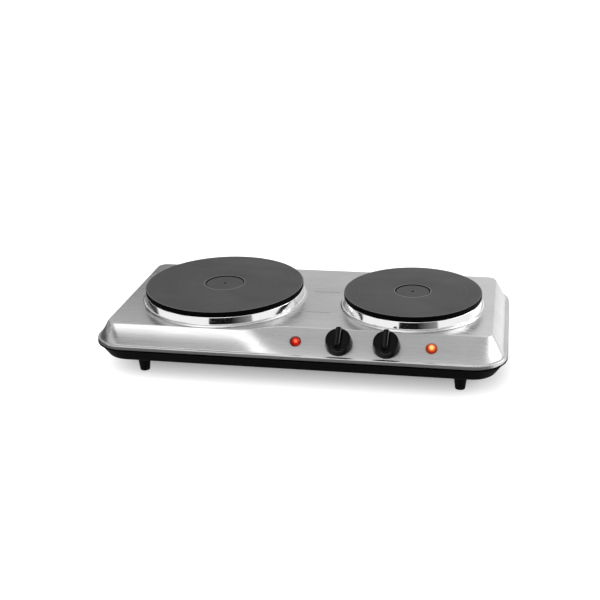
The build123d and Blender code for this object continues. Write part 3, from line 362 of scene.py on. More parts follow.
def brushed_stainless(finish, foot, deck, crown):
    """Stainless sheet, brushed along its length before pressing, its sides crowned from foot up to deck."""
    # Parallel scratches: sheen that smears across the grain, with faint streaks of tone along it, and fades
    # down the sides, which the press leaves slightly crowned. Real scratches are finer than a pixel, so
    # they are drawn as coarse as they need to show.
    material, tree = blank_material("stainless_steel_brushed")
    scratches = grain(tree, (finish.scratch_length, finish.scratch_width, finish.scratch_length))
    cloud = grain(tree, (110 * MM, 50 * MM, 50 * MM))
    sway = grain(tree, (90 * MM, 70 * MM, 70 * MM), detail=0.0)
    place = add_node(tree, "TexCoord").outputs["Object"]
    height = add_node(tree, "SeparateXYZ", {"Vector": place}).outputs["Z"]
    climb = add_node(tree, "MapRange", {
        "Value": height, "From Min": foot, "From Max": deck, "To Min": -1.0, "To Max": 1.0,
    }).outputs["Result"]
    bulge = add_node(tree, "Math", {0: climb, 1: climb}, operation="MULTIPLY").outputs["Value"]
    pressed = add_node(tree, "Bump", {"Height": bulge, "Strength": 1.0, "Distance": crown}, invert=True)
    drawn = add_node(tree, "Bump", {
        "Height": sway, "Strength": 0.5, "Distance": 0.5 * MM, "Normal": pressed.outputs["Normal"],
    })
    brushed = add_node(tree, "Bump", {
        "Height": scratches, "Strength": 0.06, "Distance": 0.05 * MM, "Normal": drawn.outputs["Normal"],
    })
    rough = add_node(tree, "MapRange", {
        "Value": scratches, "From Min": GRAIN_LOW, "From Max": GRAIN_HIGH, "To Min": 0.24, "To Max": 0.36,
    })
    along = add_node(tree, "CombineXYZ", {"X": 1.0, "Z": 0.05})
    shader = add_node(tree, "BsdfPrincipled", {
        "Base Color": grain_tones(tree, cloud, scaled_colour(finish.stainless, 0.88), finish.stainless),
        "Metallic": 1.0,
        "Roughness": rough.outputs["Result"],
        "Anisotropic": 0.5,
        "Tangent": along.outputs["Vector"],
        "Normal": brushed.outputs["Normal"],
    })
    add_node(tree, "OutputMaterial", {"Surface": shader.outputs["BSDF"]})
    return material


def polished_stainless(finish):
    """Stainless ring, spun and polished."""
    # Nearly a mirror, with hair lines round the ring that the polishing left, drawn coarse enough to show.
    return grained_material(
        "stainless_steel_polished", (400 * MM, 400 * MM, 0.6 * MM), [finish.polished],
        roughness=(0.05, 0.12), relief=(0.03, 0.05 * MM), values={"Metallic": 1.0},
    )


def coated_iron(finish, radius, recess):
    """Turned cast iron under a matt heat proof coating, for a plate and recess of these radii."""
    # Dull dark grey with turned circles and a casting's speckle, paler in soft smears where pans were slid over
    # it.
    # Paler rings along its edge and round its recess are partly rubbed coating and partly a painted highlight
    # on the rounded edges. Circles and speckle are finer than a pixel on a real plate, so they are drawn as coarse
    # as they need to show.
    material, tree = blank_material("cast_iron_coated")
    place = add_node(tree, "TexCoord").outputs["Object"]
    level = add_node(tree, "VectorMath", {0: place, 1: (1, 1, 0)}, operation="MULTIPLY")
    reach = add_node(tree, "VectorMath", {0: level.outputs["Vector"]}, operation="LENGTH").outputs["Value"]
    count = add_node(tree, "Math", {0: reach, 1: finish.turning_pitch}, operation="DIVIDE").outputs["Value"]
    circles = add_node(tree, "TexNoise", {"W": count, "Scale": 1.0}, noise_dimensions="1D").outputs["Fac"]
    speckle = grain(tree, 1.6 * MM)
    smears = grain(tree, (50 * MM, 30 * MM, 50 * MM), detail=4.0)
    dark, pale, smeared = [scaled_colour(finish.coating, share) for share in (0.88, 1.08, 1.35)]
    tone = grain_tones(tree, smears, grain_tones(tree, speckle, dark, pale), smeared)
    # Paler rings at the edge and round the recess: rubbed coating and painted highlight on the rounded edges.
    for edge in (radius - PALE_RING_IN_FROM_EDGE, recess + PALE_RING_OUT_FROM_RECESS):
        away = add_node(tree, "Math", {0: reach, 1: edge}, operation="SUBTRACT").outputs["Value"]
        near = add_node(tree, "Math", {0: away}, operation="ABSOLUTE").outputs["Value"]
        wear_and_highlight = add_node(tree, "MapRange", {"Value": near, "From Min": PALE_RING_FADED, "From Max": PALE_RING_FULL})
        tone = add_node(
            tree, "Mix", {0: wear_and_highlight.outputs["Result"], 6: tone, 7: finish.coating_worn_and_highlit}, data_type="RGBA"
        ).outputs[2]
    rough = add_node(tree, "MapRange", {
        "Value": circles, "From Min": GRAIN_LOW, "From Max": GRAIN_HIGH, "To Min": 0.55, "To Max": 0.68,
    })
    turned = add_node(tree, "Bump", {"Height": circles, "Strength": 0.08, "Distance": 0.06 * MM})
    shader = add_node(tree, "BsdfPrincipled", {
        "Base Color": tone,
        "Roughness": rough.outputs["Result"],
        "Specular IOR Level": 0.3,
        "Normal": turned.outputs["Normal"],
    })
    add_node(tree, "OutputMaterial", {"Surface": shader.outputs["BSDF"]})
    return material


def blacked_iron_and_shade(finish):
    """Cast iron side of a plate, blacked, and painted shade in its recess."""
    # Deep satin black that hardly answers the light, with a casting's small pits. On the plate's sides it is
    # the blacking; on the recess's wall, groove and dimple it is painted shade, and on the steeper part of the
    # top edge's round it widens the dark band as painted shade.
    return grained_material(
        "cast_iron_blacked_and_shade", 0.9 * MM, [scaled_colour(finish.blacking_and_shade, 0.7), finish.blacking_and_shade],
        roughness=(0.5, 0.62), relief=(0.1, 0.08 * MM), values={"Specular IOR Level": 0.03},
    )


def painted_steel(finish):
    """Pressed steel under baked black paint."""
    # Satin black with the faint orange peel of sprayed paint.
    return grained_material(
        "steel_painted_black", 1.8 * MM, [scaled_colour(finish.paint, 0.8), finish.paint],
        roughness=(0.4, 0.5), relief=(0.08, 0.1 * MM), values={"Specular IOR Level": 0.008},
    )


def moulded_rubber(finish):
    """Black rubber as it leaves the mould."""
    # Dull and slightly dusty, with the eroded grain of its mould drawn coarse enough to show.
    return grained_material(
        "rubber_moulded_black", 0.7 * MM, [scaled_colour(finish.rubber, 0.7), finish.rubber],
        roughness=(0.6, 0.75), relief=(0.15, 0.05 * MM), values={"Specular IOR Level": 0.06},
    )


def moulded_phenolic(finish):
    """Black phenolic, moulded and glossy."""
    # Hard black gloss with a slight waviness from the mould.
    return grained_material(
        "phenolic_moulded_black", 6 * MM, [scaled_colour(finish.phenolic, 0.7), finish.phenolic],
        roughness=(0.07, 0.12), relief=(0.05, 0.05 * MM), values={"Specular IOR Level": 0.15}, detail=0.0,
    )


def lit_lens(name, edge, glow, spark, spot, spot_radius, strength):
    """Clear tinted polycarbonate lens, moulded, with a neon lamp alight behind it at the spot."""
    # Glossy dome that glows, darker towards its rim, with a pale spot off its middle that glows brightest.
    material, tree = blank_material(name)
    place = add_node(tree, "TexCoord").outputs["Object"]
    shifted = add_node(tree, "VectorMath", {0: place, 1: spot}, operation="SUBTRACT")
    flat = add_node(tree, "VectorMath", {0: shifted.outputs["Vector"], 1: (1, 1, 0)}, operation="MULTIPLY")
    reach = add_node(tree, "VectorMath", {0: flat.outputs["Vector"]}, operation="LENGTH").outputs["Value"]
    rim = add_node(tree, "MapRange", {"Value": reach, "From Min": LENS_GLOW, "From Max": LENS_RIM})
    heart = add_node(
        tree, "MapRange", {"Value": reach, "From Min": spot_radius, "From Max": LENS_HEART * spot_radius}
    )
    body = add_node(tree, "Mix", {0: rim.outputs["Result"], 6: glow, 7: edge}, data_type="RGBA")
    light = add_node(
        tree, "Mix", {0: heart.outputs["Result"], 6: body.outputs[2], 7: spark}, data_type="RGBA"
    )
    shader = add_node(tree, "BsdfPrincipled", {
        "Base Color": body.outputs[2],
        "Roughness": 0.12,
        "IOR": 1.58,
        "Specular IOR Level": 0.15,
        "Emission Color": light.outputs[2],
        "Emission Strength": strength,
    })
    add_node(tree, "OutputMaterial", {"Surface": shader.outputs["BSDF"]})
    return material


def plated_steel():
    """Mild steel, zinc plated."""
    # Pale grey metal with a soft spangle.
    return grained_material(
        "steel_zinc_plated", 3 * MM, [linear("a6a8aa"), linear("c3c5c7")],
        roughness=(0.3, 0.45), values={"Metallic": 1.0},
    )


def steatite():
    """Pressed steatite, fired and unglazed."""
    # Chalky off white with a faint mottle.
    return grained_material(
        "steatite_fired", 2 * MM, [linear("dcd7cb"), linear("ece8df")],
        roughness=(0.7, 0.85), relief=(0.1, 0.05 * MM),
    )


def stamped_brass():
    """Brass strip and rod, stamped or turned."""
    # Warm yellow metal, a little tarnished.
    return grained_material(
        "brass_stamped", 4 * MM, [linear("b08d4a"), linear("d3b069")],
        roughness=(0.25, 0.4), values={"Metallic": 1.0},
    )


def moulded_nylon(name, code):
    """Nylon, moulded."""
    # Waxy and half matt.
    return grained_material(
        name, 2.5 * MM, [scaled_colour(linear(code), 0.85), linear(code)], roughness=(0.42, 0.55)
    )


def lamp_glass():
    """Neon bulb, blown glass."""
    # Clear, with a faint warm tint.
    return grained_material(
        "glass_blown", 3 * MM, [linear("f5ece2")],
        roughness=(0.02, 0.06), values={"IOR": 1.5, "Transmission Weight": 1.0},
    )


def glass_sleeving(name, low, high):
    """Braided glass sleeving over a lead, varnished."""
    # Fine braid that breaks the sheen into small dashes.
    return grained_material(
        name, 0.9 * MM, [linear(low), linear(high)], roughness=(0.5, 0.7), relief=(0.2, 0.1 * MM)
    )


def rounded(corners):
    """Outline through corners of (across, up, radius), each with its radius as an arc."""
    outline = [Vector(corners[0][:2])]
    for before, corner, after in zip(corners, corners[1:], corners[2:]):
        point = Vector(corner[:2])
        radius = corner[2]
        if not radius:
            outline.append(point)
            continue
        back = (Vector(before[:2]) - point).normalized()
        ahead = (Vector(after[:2]) - point).normalized()
        half = back.angle(ahead) / 2
        centre = point + (back + ahead).normalized() * radius / math.sin(half)
        arm = point + back * radius / math.tan(half) - centre
        sweep = math.copysign(math.pi - 2 * half, back.x * -ahead.y + back.y * ahead.x)
        for step in range(ROUND_STEPS + 1):
            outline.append(centre + Matrix.Rotation(sweep * step / ROUND_STEPS, 2) @ arm)
    outline.append(Vector(corners[-1][:2]))
    return outline


def stack_loops(build, loops, closed=False):
    """Join loops of vertices with faces; a loop of one vertex is a pole."""
    pairs = list(zip(loops, loops[1:]))
    if closed:
        pairs.append((loops[-1], loops[0]))
    count = max(len(loop) for loop in loops)
    for lower, upper in pairs:
        for at in range(count):
            after = (at + 1) % count
            if len(lower) == 1:
                build.faces.new((lower[0], upper[after], upper[at]))
            elif len(upper) == 1:
                build.faces.new((lower[at], lower[after], upper[0]))
            else:
                build.faces.new((lower[at], lower[after], upper[after], upper[at]))


def finish_mesh(build, name):
    """Turn a bmesh into a smooth mesh with sharp folds."""
    bmesh.ops.recalc_face_normals(build, faces=build.faces)
    mesh = bpy.data.meshes.new(name)
    build.to_mesh(mesh)
    build.free()
    mesh.shade_smooth()
    mesh.set_sharp_from_angle(angle=math.radians(SHARP_DEGREES))
    return mesh


def lathe(name, outline, segments, closed=False):
    """Mesh turned from an outline of (radius, height); points on the axis become poles."""
    build = bmesh.new()
    angles = [2 * math.pi * at / segments for at in range(segments)]
    loops = []
    for radius, height in outline:
        if radius < ON_AXIS:
            loops.append([build.verts.new((0, 0, height))])
        else:
            loops.append([
                build.verts.new((radius * math.cos(a), radius * math.sin(a), height)) for a in angles
            ])
    stack_loops(build, loops, closed)
    return finish_mesh(build, name)


def slot_loop(build, height, length, width, shift):
    """Loop of vertices round a level slot that lies along y, its ends squarer than half circles."""
    radius = width / 2
    straight = length / 2 - radius
    loop = []
    for end in (1, -1):
        for step in range(SLOT_STEPS + 1):
            angle = math.pi * step / SLOT_STEPS
            across = math.copysign(abs(math.cos(angle)) ** BAR_SQUARENESS, math.cos(angle))
            along = abs(math.sin(angle)) ** BAR_SQUARENESS
            spot = (end * radius * across, shift + end * (straight + radius * along), height)
            loop.append(build.verts.new(spot))
    return loop


def joined(name, base, tool):
    """Mesh of base with tool united to it."""
    scene = bpy.context.scene
    pair = [bpy.data.objects.new(name + end, mesh) for end, mesh in (("_base", base), ("_tool", tool))]
    for part in pair:
        scene.collection.objects.link(part)
    union = pair[0].modifiers.new("union", "BOOLEAN")
    union.operation = "UNION"
    union.solver = "EXACT"
    union.object = pair[1]
    seen = pair[0].evaluated_get(bpy.context.evaluated_depsgraph_get())
    mesh = bpy.data.meshes.new_from_object(seen)
    mesh.name = name
    for part in pair:
        bpy.data.objects.remove(part)
    mesh.shade_smooth()
    mesh.set_sharp_from_angle(angle=math.radians(SHARP_DEGREES))
    return mesh


def rectangle(name, across, up):
    """Flat mesh that reaches this far to each side of the origin."""
    mesh = bpy.data.meshes.new(name)
    corners = [(-across, -up, 0), (across, -up, 0), (across, up, 0), (-across, up, 0)]
    mesh.from_pydata(corners, [], [(0, 1, 2, 3)])
    return mesh


def piece(name, mesh, place, materials, node, body="root"):
    """Put a mesh in place as the piece that stands for a node, riding on its body."""
    made = bpy.data.objects.new(name, mesh)
    bpy.context.scene.collection.objects.link(made)
    made.matrix_world = place
    for material in materials:
        mesh.materials.append(material)
    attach(made, body)
    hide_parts(node)
    return made


def dress(node, material):
    """Give a node of the frame its finish."""
    mesh = frame["nodes"][node].data
    mesh.materials.clear()
    mesh.materials.append(material)


def dress_slot(slot, material):
    """Give every node of a material slot its finish."""
    nodes = [node for node, owner in NODE_SLOTS.items() if owner == slot]
    if not nodes:
        raise ValueError(f"no node has the material slot {slot}")
    for node in nodes:
        dress(node, material)


def centre_of(node):
    """Middle of a node's box."""
    low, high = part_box(node)
    return (low + high) / 2


def control_place(x):
    """Matrix of the panel's face at x: local x to the right, y up the slope, z out of it."""
    joint = next(joint for joint in frame["joints"] if joint["name"] == "left_knob_turn")
    right = Vector((1, 0, 0))
    out = -Vector(joint["axis"])
    origin = Vector((x, *joint["pos_m"][1:]))
    return Matrix.Translation(origin) @ Matrix((right, out.cross(right), out)).transposed().to_4x4()


class HOTPLATE_OT_housing(bpy.types.Operator):
    """Finish the pressed housing in brushed stainless"""

    bl_idname = "hot_plate.housing"
    bl_label = "Housing"

    def execute(self, context):
        sizes = context.scene.hot_plate_sizes
        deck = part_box("left_spill_ring")[0].z - COLLAR_HEIGHT
        steel = brushed_stainless(context.scene.hot_plate_finish, sizes.skirt_foot, deck, sizes.skirt_crown)
        dress("top_housing", steel)
        return {"FINISHED"}


class HOTPLATE_OT_pan(bpy.types.Operator):
    """Finish the pan in black paint"""

    bl_idname = "hot_plate.pan"
    bl_label = "Pan"

    def execute(self, context):
        dress("base_pan", painted_steel(context.scene.hot_plate_finish))
        return {"FINISHED"}


class HOTPLATE_OT_plates(bpy.types.Operator):
    """Turn the two plates with their recess, dimple and rounded edge"""

    bl_idname = "hot_plate.plates"
    bl_label = "Plates"

    def execute(self, context):
        sizes = context.scene.hot_plate_sizes
        finish = context.scene.hot_plate_finish
        blacked_and_shade = blacked_iron_and_shade(finish)
        for side in SIDES:
            low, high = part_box(f"{side}_plate")
            radius = (high.x - low.x) / 2
            recess = getattr(sizes, f"{side}_recess") / 2
            top = high.z
            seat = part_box(f"{side}_spill_ring")[1].z
            floor = top - sizes.recess_depth
            neck = radius - sizes.plate_overhang
            outline = rounded([
                (0, low.z, 0),
                (neck, low.z, 0),
                (neck, seat, 0),
                (radius, seat, PLATE_FOOT_ROUND),
                (radius, top, sizes.plate_round),
                (recess, top, RECESS_ROUND),
                (recess, floor - RECESS_GROOVE_DEPTH, 0),
                (recess - RECESS_GROOVE_FLOOR, floor - RECESS_GROOVE_DEPTH, 0),
                (recess - RECESS_GROOVE_MOUTH, floor, RECESS_ROUND),
                (sizes.dimple, floor, DIMPLE_ROUND),
                (0, floor - sizes.recess_depth, 0),
            ])
            mesh = lathe(f"{side}_plate_turned", outline, segments=240)
            place = Matrix.Translation((centre_of(f"{side}_plate").x, 0, 0))
            coated = coated_iron(finish, radius, recess)
            made = piece(mesh.name, mesh, place, [coated, blacked_and_shade], f"{side}_plate")
            # Steep or deep faces take the black: the plate's sides, and as painted shade the recess's wall, groove
            # and dimple and the steeper part of the edge's round.
            for face in made.data.polygons:
                level = face.normal.z > COATED_SLOPE and face.center.z > floor - COATED_DEPTH
                face.material_index = 0 if level else 1
        return {"FINISHED"}


class HOTPLATE_OT_rings(bpy.types.Operator):
    """Spin the two polished spill rings"""

    bl_idname = "hot_plate.rings"
    bl_label = "Spill rings"

    def execute(self, context):
        sizes = context.scene.hot_plate_sizes
        polish = polished_stainless(context.scene.hot_plate_finish)
        for side in SIDES:
            low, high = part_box(f"{side}_spill_ring")
            plate_low, plate_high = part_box(f"{side}_plate")
            plate_radius = (plate_high.x - plate_low.x) / 2
            outer = (high.x - low.x) / 2
            skirt = outer - sizes.ring_foot
            shoulder = plate_radius - RING_SHOULDER_INSET
            sheet = sizes.ring_sheet
            bore = plate_radius - sizes.plate_overhang + RING_BORE_GAP
            inner = sizes.ring_round / 2
            top = high.z - sizes.ring_gap
            corners = [
                (bore, top - sheet, 0),
                (bore, top, 0),
                (shoulder, top, sizes.ring_round + sheet / 2),
                (skirt, low.z + sheet, inner),
                (outer, low.z + sheet, RING_EDGE_ROUND),
                (outer, low.z, RING_EDGE_ROUND),
                (skirt - sheet, low.z, inner),
                (shoulder - sheet, top - sheet, inner),
            ]
            outline = rounded(corners + corners[:1])[:-1]
            mesh = lathe(f"{side}_spill_ring_spun", outline, segments=240, closed=True)
            place = Matrix.Translation((centre_of(f"{side}_spill_ring").x, 0, 0))
            piece(mesh.name, mesh, place, [polish], f"{side}_spill_ring")
        return {"FINISHED"}


class HOTPLATE_OT_feet(bpy.types.Operator):
    """Mould the four tapered feet with their flare and screw hole"""

    bl_idname = "hot_plate.feet"
    bl_label = "Feet"

    def execute(self, context):
        sizes = context.scene.hot_plate_sizes
        rubber = moulded_rubber(context.scene.hot_plate_finish)
        for corner in FOOT_CORNERS:
            node = f"{corner}_foot"
            low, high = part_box(node)
            flange = (high.x - low.x) / 2
            corners = [
                (FOOT_HOLE, high.z, 0),
                (FOOT_HOLE, FOOT_COUNTERBORE_DEPTH, 0),
                (FOOT_COUNTERBORE, FOOT_COUNTERBORE_DEPTH, 0),
                (FOOT_COUNTERBORE, 0, FOOT_COUNTERBORE_ROUND),
                (sizes.foot_tip, 0, FOOT_TIP_ROUND),
                (sizes.foot_shoulder, high.z - FOOT_FLARE_DROP, FOOT_FLARE_ROUND),
                (flange, high.z, FOOT_RIM_ROUND),
            ]
            outline = rounded(corners + corners[:1])[:-1]
            middle = centre_of(node)
            mesh = lathe(f"{node}_moulded", outline, segments=64, closed=True)
            piece(mesh.name, mesh, Matrix.Translation((middle.x, middle.y, 0)), [rubber], node)
        return {"FINISHED"}


class HOTPLATE_OT_knobs(bpy.types.Operator):
    """Mould the two knobs, skirt and finger bar in one"""

    bl_idname = "hot_plate.knobs"
    bl_label = "Knobs"

    def execute(self, context):
        sizes = context.scene.hot_plate_sizes
        phenolic = moulded_phenolic(context.scene.hot_plate_finish)
        for side in SIDES:
            low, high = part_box(f"{side}_knob")
            radius = (high.x - low.x) / 2
            face = sizes.knob_height - sizes.knob_dish
            rim = sizes.knob_face - KNOB_RIM_WIDTH
            skirt = rounded([
                (0, KNOB_HUB_FOOT, 0),
                (KNOB_HUB, KNOB_HUB_FOOT, 0),
                (KNOB_HUB, KNOB_HOLLOW, 0),
                (radius - KNOB_WALL, KNOB_HOLLOW, 0),
                (radius - KNOB_WALL, sizes.knob_gap, 0),
                (radius, sizes.knob_gap, KNOB_FOOT_ROUND),
                (sizes.knob_face, sizes.knob_height, KNOB_EDGE_ROUND),
                (rim - KNOB_RIM_ROUND, sizes.knob_height, KNOB_RIM_ROUND),
                (rim - sizes.knob_dish, face, KNOB_DISH_ROUND),
                (0, face, 0),
            ])
            body = lathe(f"{side}_knob_skirt", skirt, segments=128)
            bar = self.finger_bar(f"{side}_knob_bar", sizes, face)
            mesh = joined(f"{side}_knob_moulded", body, bar)
            mesh.transform(control_place(centre_of(f"{side}_knob").x))
            piece(mesh.name, mesh, Matrix.Identity(4), [phenolic], f"{side}_knob", f"{side}_knob_body")
        return {"FINISHED"}

    def finger_bar(self, name, sizes, face):
        """Tapered bar across the face, with rounded edges and a groove along its top."""
        top = sizes.knob_height + sizes.grip_height
        groove = sizes.grip_length - BAR_GROOVE_INSET
        shift = sizes.grip_shift
        levels = [
            (face + rise * MM, length * MM, sizes.grip_foot + growth * MM, root_shift * MM)
            for rise, length, growth, root_shift in BAR_ROOT
        ]
        for outlines, length, width in (
            (BAR_EDGE, sizes.grip_length, sizes.grip_width),
            (BAR_LIP, groove, sizes.groove_width),
        ):
            for drop, growth in outlines:
                levels.append((top - drop * MM, length + growth * MM, width + growth * MM, shift))
        levels.append((
            top - sizes.groove_depth, groove - BAR_GROOVE_SLOPE, sizes.groove_width - BAR_GROOVE_SLOPE, shift
        ))
        build = bmesh.new()
        loops = [slot_loop(build, *level) for level in levels]
        stack_loops(build, loops)
        build.faces.new(loops[0])
        build.faces.new(loops[-1])
        return finish_mesh(build, name)


class HOTPLATE_OT_lamps(bpy.types.Operator):
    """Mould the two pilot lamp lenses and light them"""

    bl_idname = "hot_plate.lamps"
    bl_label = "Pilot lamps"

    def execute(self, context):
        sizes = context.scene.hot_plate_sizes
        finish = context.scene.hot_plate_finish
        tints = {
            "left": lit_lens(
                "polycarbonate_moulded_red",
                edge=linear("4e0804"), glow=finish.left_glow, spark=linear("ff8a55"),
                spot=(1.4 * MM, -2.0 * MM, 0), spot_radius=2.2 * MM, strength=0.8,
            ),
            "right": lit_lens(
                "polycarbonate_moulded_amber",
                edge=linear("6e1f08"), glow=finish.right_glow, spark=linear("ffe79c"),
                spot=(0.5 * MM, -1.2 * MM, 0), spot_radius=3.0 * MM, strength=0.9,
            ),
        }
        for side in SIDES:
            mesh = lathe(f"{side}_lamp_lens_moulded", self.outline(sizes), segments=64)
            place = control_place(centre_of(f"{side}_lamp_lens").x)
            piece(mesh.name, mesh, place, [tints[side]], f"{side}_lamp_lens")
        return {"FINISHED"}

    def outline(self, sizes):
        """Outline of a lens: stem behind the panel, flange on it, and a dome that is part of a sphere."""
        low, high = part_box("left_lamp_lens")
        flange = (high.x - low.x) / 2
        dome = flange - LENS_SHOULDER
        sphere = (dome**2 + sizes.lens_dome**2) / (2 * sizes.lens_dome)
        crown = sizes.lens_flange + sizes.lens_dome
        reach = math.atan2(dome, sphere - sizes.lens_dome)
        base = rounded([
            (0, -LENS_STEM_DEPTH, 0),
            (LENS_STEM, -LENS_STEM_DEPTH, 0),
            (LENS_STEM, 0, 0),
            (flange, 0, LENS_SEAT_ROUND),
            (flange, sizes.lens_flange, LENS_EDGE_ROUND),
            (dome, sizes.lens_flange, 0),
        ])
        angles = [reach * at / DOME_STEPS for at in range(DOME_STEPS, -1, -1)]
        cap = [Vector((sphere * math.sin(a), crown - sphere * (1 - math.cos(a)))) for a in angles]
        return base + cap


class HOTPLATE_OT_steelwork(bpy.types.Operator):
    """Finish the posts, shields, clamps, spindles, springs, frames and screws in plated steel"""

    bl_idname = "hot_plate.steelwork"
    bl_label = "Steelwork"

    def execute(self, context):
        dress_slot("plated_steel", plated_steel())
        return {"FINISHED"}


class HOTPLATE_OT_ceramics(bpy.types.Operator):
    """Finish the heaters, beads, thermostat bases and terminal block in steatite"""

    bl_idname = "hot_plate.ceramics"
    bl_label = "Ceramics"

    def execute(self, context):
        dress_slot("ceramic", steatite())
        return {"FINISHED"}


class HOTPLATE_OT_contacts(bpy.types.Operator):
    """Finish the pins, tabs, contact leaves and terminal screws in brass"""

    bl_idname = "hot_plate.contacts"
    bl_label = "Contacts"

    def execute(self, context):
        dress_slot("brass", stamped_brass())
        return {"FINISHED"}


class HOTPLATE_OT_lamp_holders(bpy.types.Operator):
    """Finish the pilot lamps' holders in nylon and their bulbs in glass"""

    bl_idname = "hot_plate.lamp_holders"
    bl_label = "Lamp holders"

    def execute(self, context):
        dress_slot("lamp_nylon", moulded_nylon("nylon_moulded_natural", "e6e3d8"))
        dress_slot("bulb_glass", lamp_glass())
        return {"FINISHED"}


class HOTPLATE_OT_gland(bpy.types.Operator):
    """Finish the cord gland in black nylon"""

    bl_idname = "hot_plate.gland"
    bl_label = "Cord gland"

    def execute(self, context):
        dress_slot("gland_nylon", moulded_nylon("nylon_moulded_black", "161616"))
        return {"FINISHED"}


class HOTPLATE_OT_leads(bpy.types.Operator):
    """Finish the inner leads in braided sleeving, white for the mains and green for the earth"""

    bl_idname = "hot_plate.leads"
    bl_label = "Leads"

    def execute(self, context):
        dress_slot("lead_sleeve", glass_sleeving("glass_sleeving_white", "cbc5b4", "e6e1d3"))
        dress_slot("earth_sleeve", glass_sleeving("glass_sleeving_green", "3d6b1f", "b3a92c"))
        return {"FINISHED"}


class HOTPLATE_OT_studio(bpy.types.Operator):
    """Set up the floor, the soft lights, the world and the camera"""

    bl_idname = "hot_plate.studio"
    bl_label = "Studio"

    def execute(self, context):
        studio = context.scene.hot_plate_studio
        context.scene.view_settings.view_transform = "Standard"
        self.lay_floor(context.scene, studio)
        for lamp in SOFTBOXES:
            self.hang_softbox(context.scene, *lamp)
        for name, azimuth, elevation, distance, *board in CARDS:
            towards = self.direction(math.radians(azimuth), math.radians(elevation))
            self.set_card(context.scene, name, towards * distance, towards, *board)
        # Dark sheets that only glossy rays see: painted shade for the rim and pan to mirror.
        for name, middle, size, tone in MIRRORED_SHADE_SHEETS:
            self.set_card(context.scene, name, middle, Vector((0, 0, 1)), size, tone, tone)
        self.light_world(context.scene)
        self.aim_camera(context.scene, studio)
        return {"FINISHED"}

    def direction(self, azimuth, elevation):
        """Unit vector towards a place round the object; azimuth 0 is the front."""
        level = math.cos(elevation)
        return Vector((math.sin(azimuth) * level, -math.cos(azimuth) * level, math.sin(elevation)))

    def lay_floor(self, scene, studio):
        """Pale floor that reads as white to the camera, keeps the shadow and has a painted shadow under the
        object.
        """
        mesh = rectangle("floor", FLOOR_HALF, FLOOR_HALF)
        floor = bpy.data.objects.new("floor", mesh)
        scene.collection.objects.link(floor)
        material, tree = blank_material("floor_paper_matt")
        paper = add_node(tree, "BsdfDiffuse", {"Color": studio.floor})
        # The paper's glow is least under the object and grows from under its sides: a painted shadow beneath it,
        # on top of the shadow it keeps.
        spot = add_node(tree, "TexCoord").outputs["Object"]
        mirrored = add_node(tree, "VectorMath", {0: spot}, operation="ABSOLUTE").outputs["Vector"]
        core = CAD_BOX[1] - CORE_INSET
        out = add_node(tree, "VectorMath", {0: mirrored, 1: core}, operation="SUBTRACT").outputs["Vector"]
        beside = add_node(tree, "VectorMath", {0: out, 1: (0, 0, 0)}, operation="MAXIMUM").outputs["Vector"]
        away = add_node(tree, "VectorMath", {0: beside}, operation="LENGTH").outputs["Value"]
        rise = add_node(tree, "MapRange", {
            "Value": away, "From Max": LIFT_REACH, "To Min": LIFT_LEAST, "To Max": LIFT_MOST,
        })
        fall = add_node(tree, "MapRange", {
            "Value": away, "From Min": FADE_NEAR, "From Max": FADE_FAR, "To Max": FADE_LOSS,
        })
        lift = add_node(
            tree, "Math", {0: rise.outputs["Result"], 1: fall.outputs["Result"]}, operation="SUBTRACT"
        ).outputs["Value"]
        shown = add_node(tree, "Math", {0: self.shown(tree), 1: lift}, operation="MULTIPLY").outputs["Value"]
        glow = add_node(tree, "Emission", {"Color": linear("ffffff"), "Strength": shown})
        both = add_node(tree, "AddShader", {0: paper.outputs["BSDF"], 1: glow.outputs["Emission"]})
        add_node(tree, "OutputMaterial", {"Surface": both.outputs["Shader"]})
        mesh.materials.append(material)

    def shown(self, tree):
        """1 for the rays that show the background, to the camera, in metal or through glass."""
        path = add_node(tree, "LightPath").outputs
        shown = path["Is Camera Ray"]
        for ray in ("Is Glossy Ray", "Is Transmission Ray"):
            shown = add_node(tree, "Math", {0: shown, 1: path[ray]}, operation="MAXIMUM").outputs["Value"]
        return shown

    def hang_softbox(self, scene, name, azimuth, elevation, distance, size, radiance):
        """Rectangular soft light of this size and radiance, facing the object."""
        data = bpy.data.lights.new(name, "AREA")
        data.shape = "RECTANGLE"
        data.size, data.size_y = size
        data.energy = radiance * math.pi * size[0] * size[1]
        lamp = bpy.data.objects.new(name, data)
        scene.collection.objects.link(lamp)
        towards = self.direction(math.radians(azimuth), math.radians(elevation))
        lamp.location = towards * distance
        lamp.rotation_euler = (-towards).to_track_quat("-Z", "Y").to_euler()

    def set_card(self, scene, name, middle, outward, size, left_tone, right_tone):
        """Card of this size, its back to outward, that only the glossy pieces see."""
        across, up = size[0] / 2, size[1] / 2
        mesh = rectangle(name, across, up)
        card = bpy.data.objects.new(name, mesh)
        scene.collection.objects.link(card)
        card.location = middle
        card.rotation_euler = (-outward).to_track_quat("-Z", "Y").to_euler()
        card.visible_camera = False
        card.visible_diffuse = False
        card.visible_shadow = False
        material, tree = blank_material(f"{name}_board")
        strength = left_tone
        if left_tone != right_tone:
            # The left half keeps its tone, and the right half goes over to the other one.
            place = add_node(tree, "TexCoord").outputs["Object"]
            right = add_node(tree, "SeparateXYZ", {"Vector": place}).outputs["X"]
            strength = add_node(tree, "MapRange", {
                "Value": right, "From Max": across, "To Min": left_tone, "To Max": right_tone,
            }).outputs["Result"]
        glow = add_node(tree, "Emission", {"Color": linear("ffffff"), "Strength": strength})
        add_node(tree, "OutputMaterial", {"Surface": glow.outputs["Emission"]})
        mesh.materials.append(material)

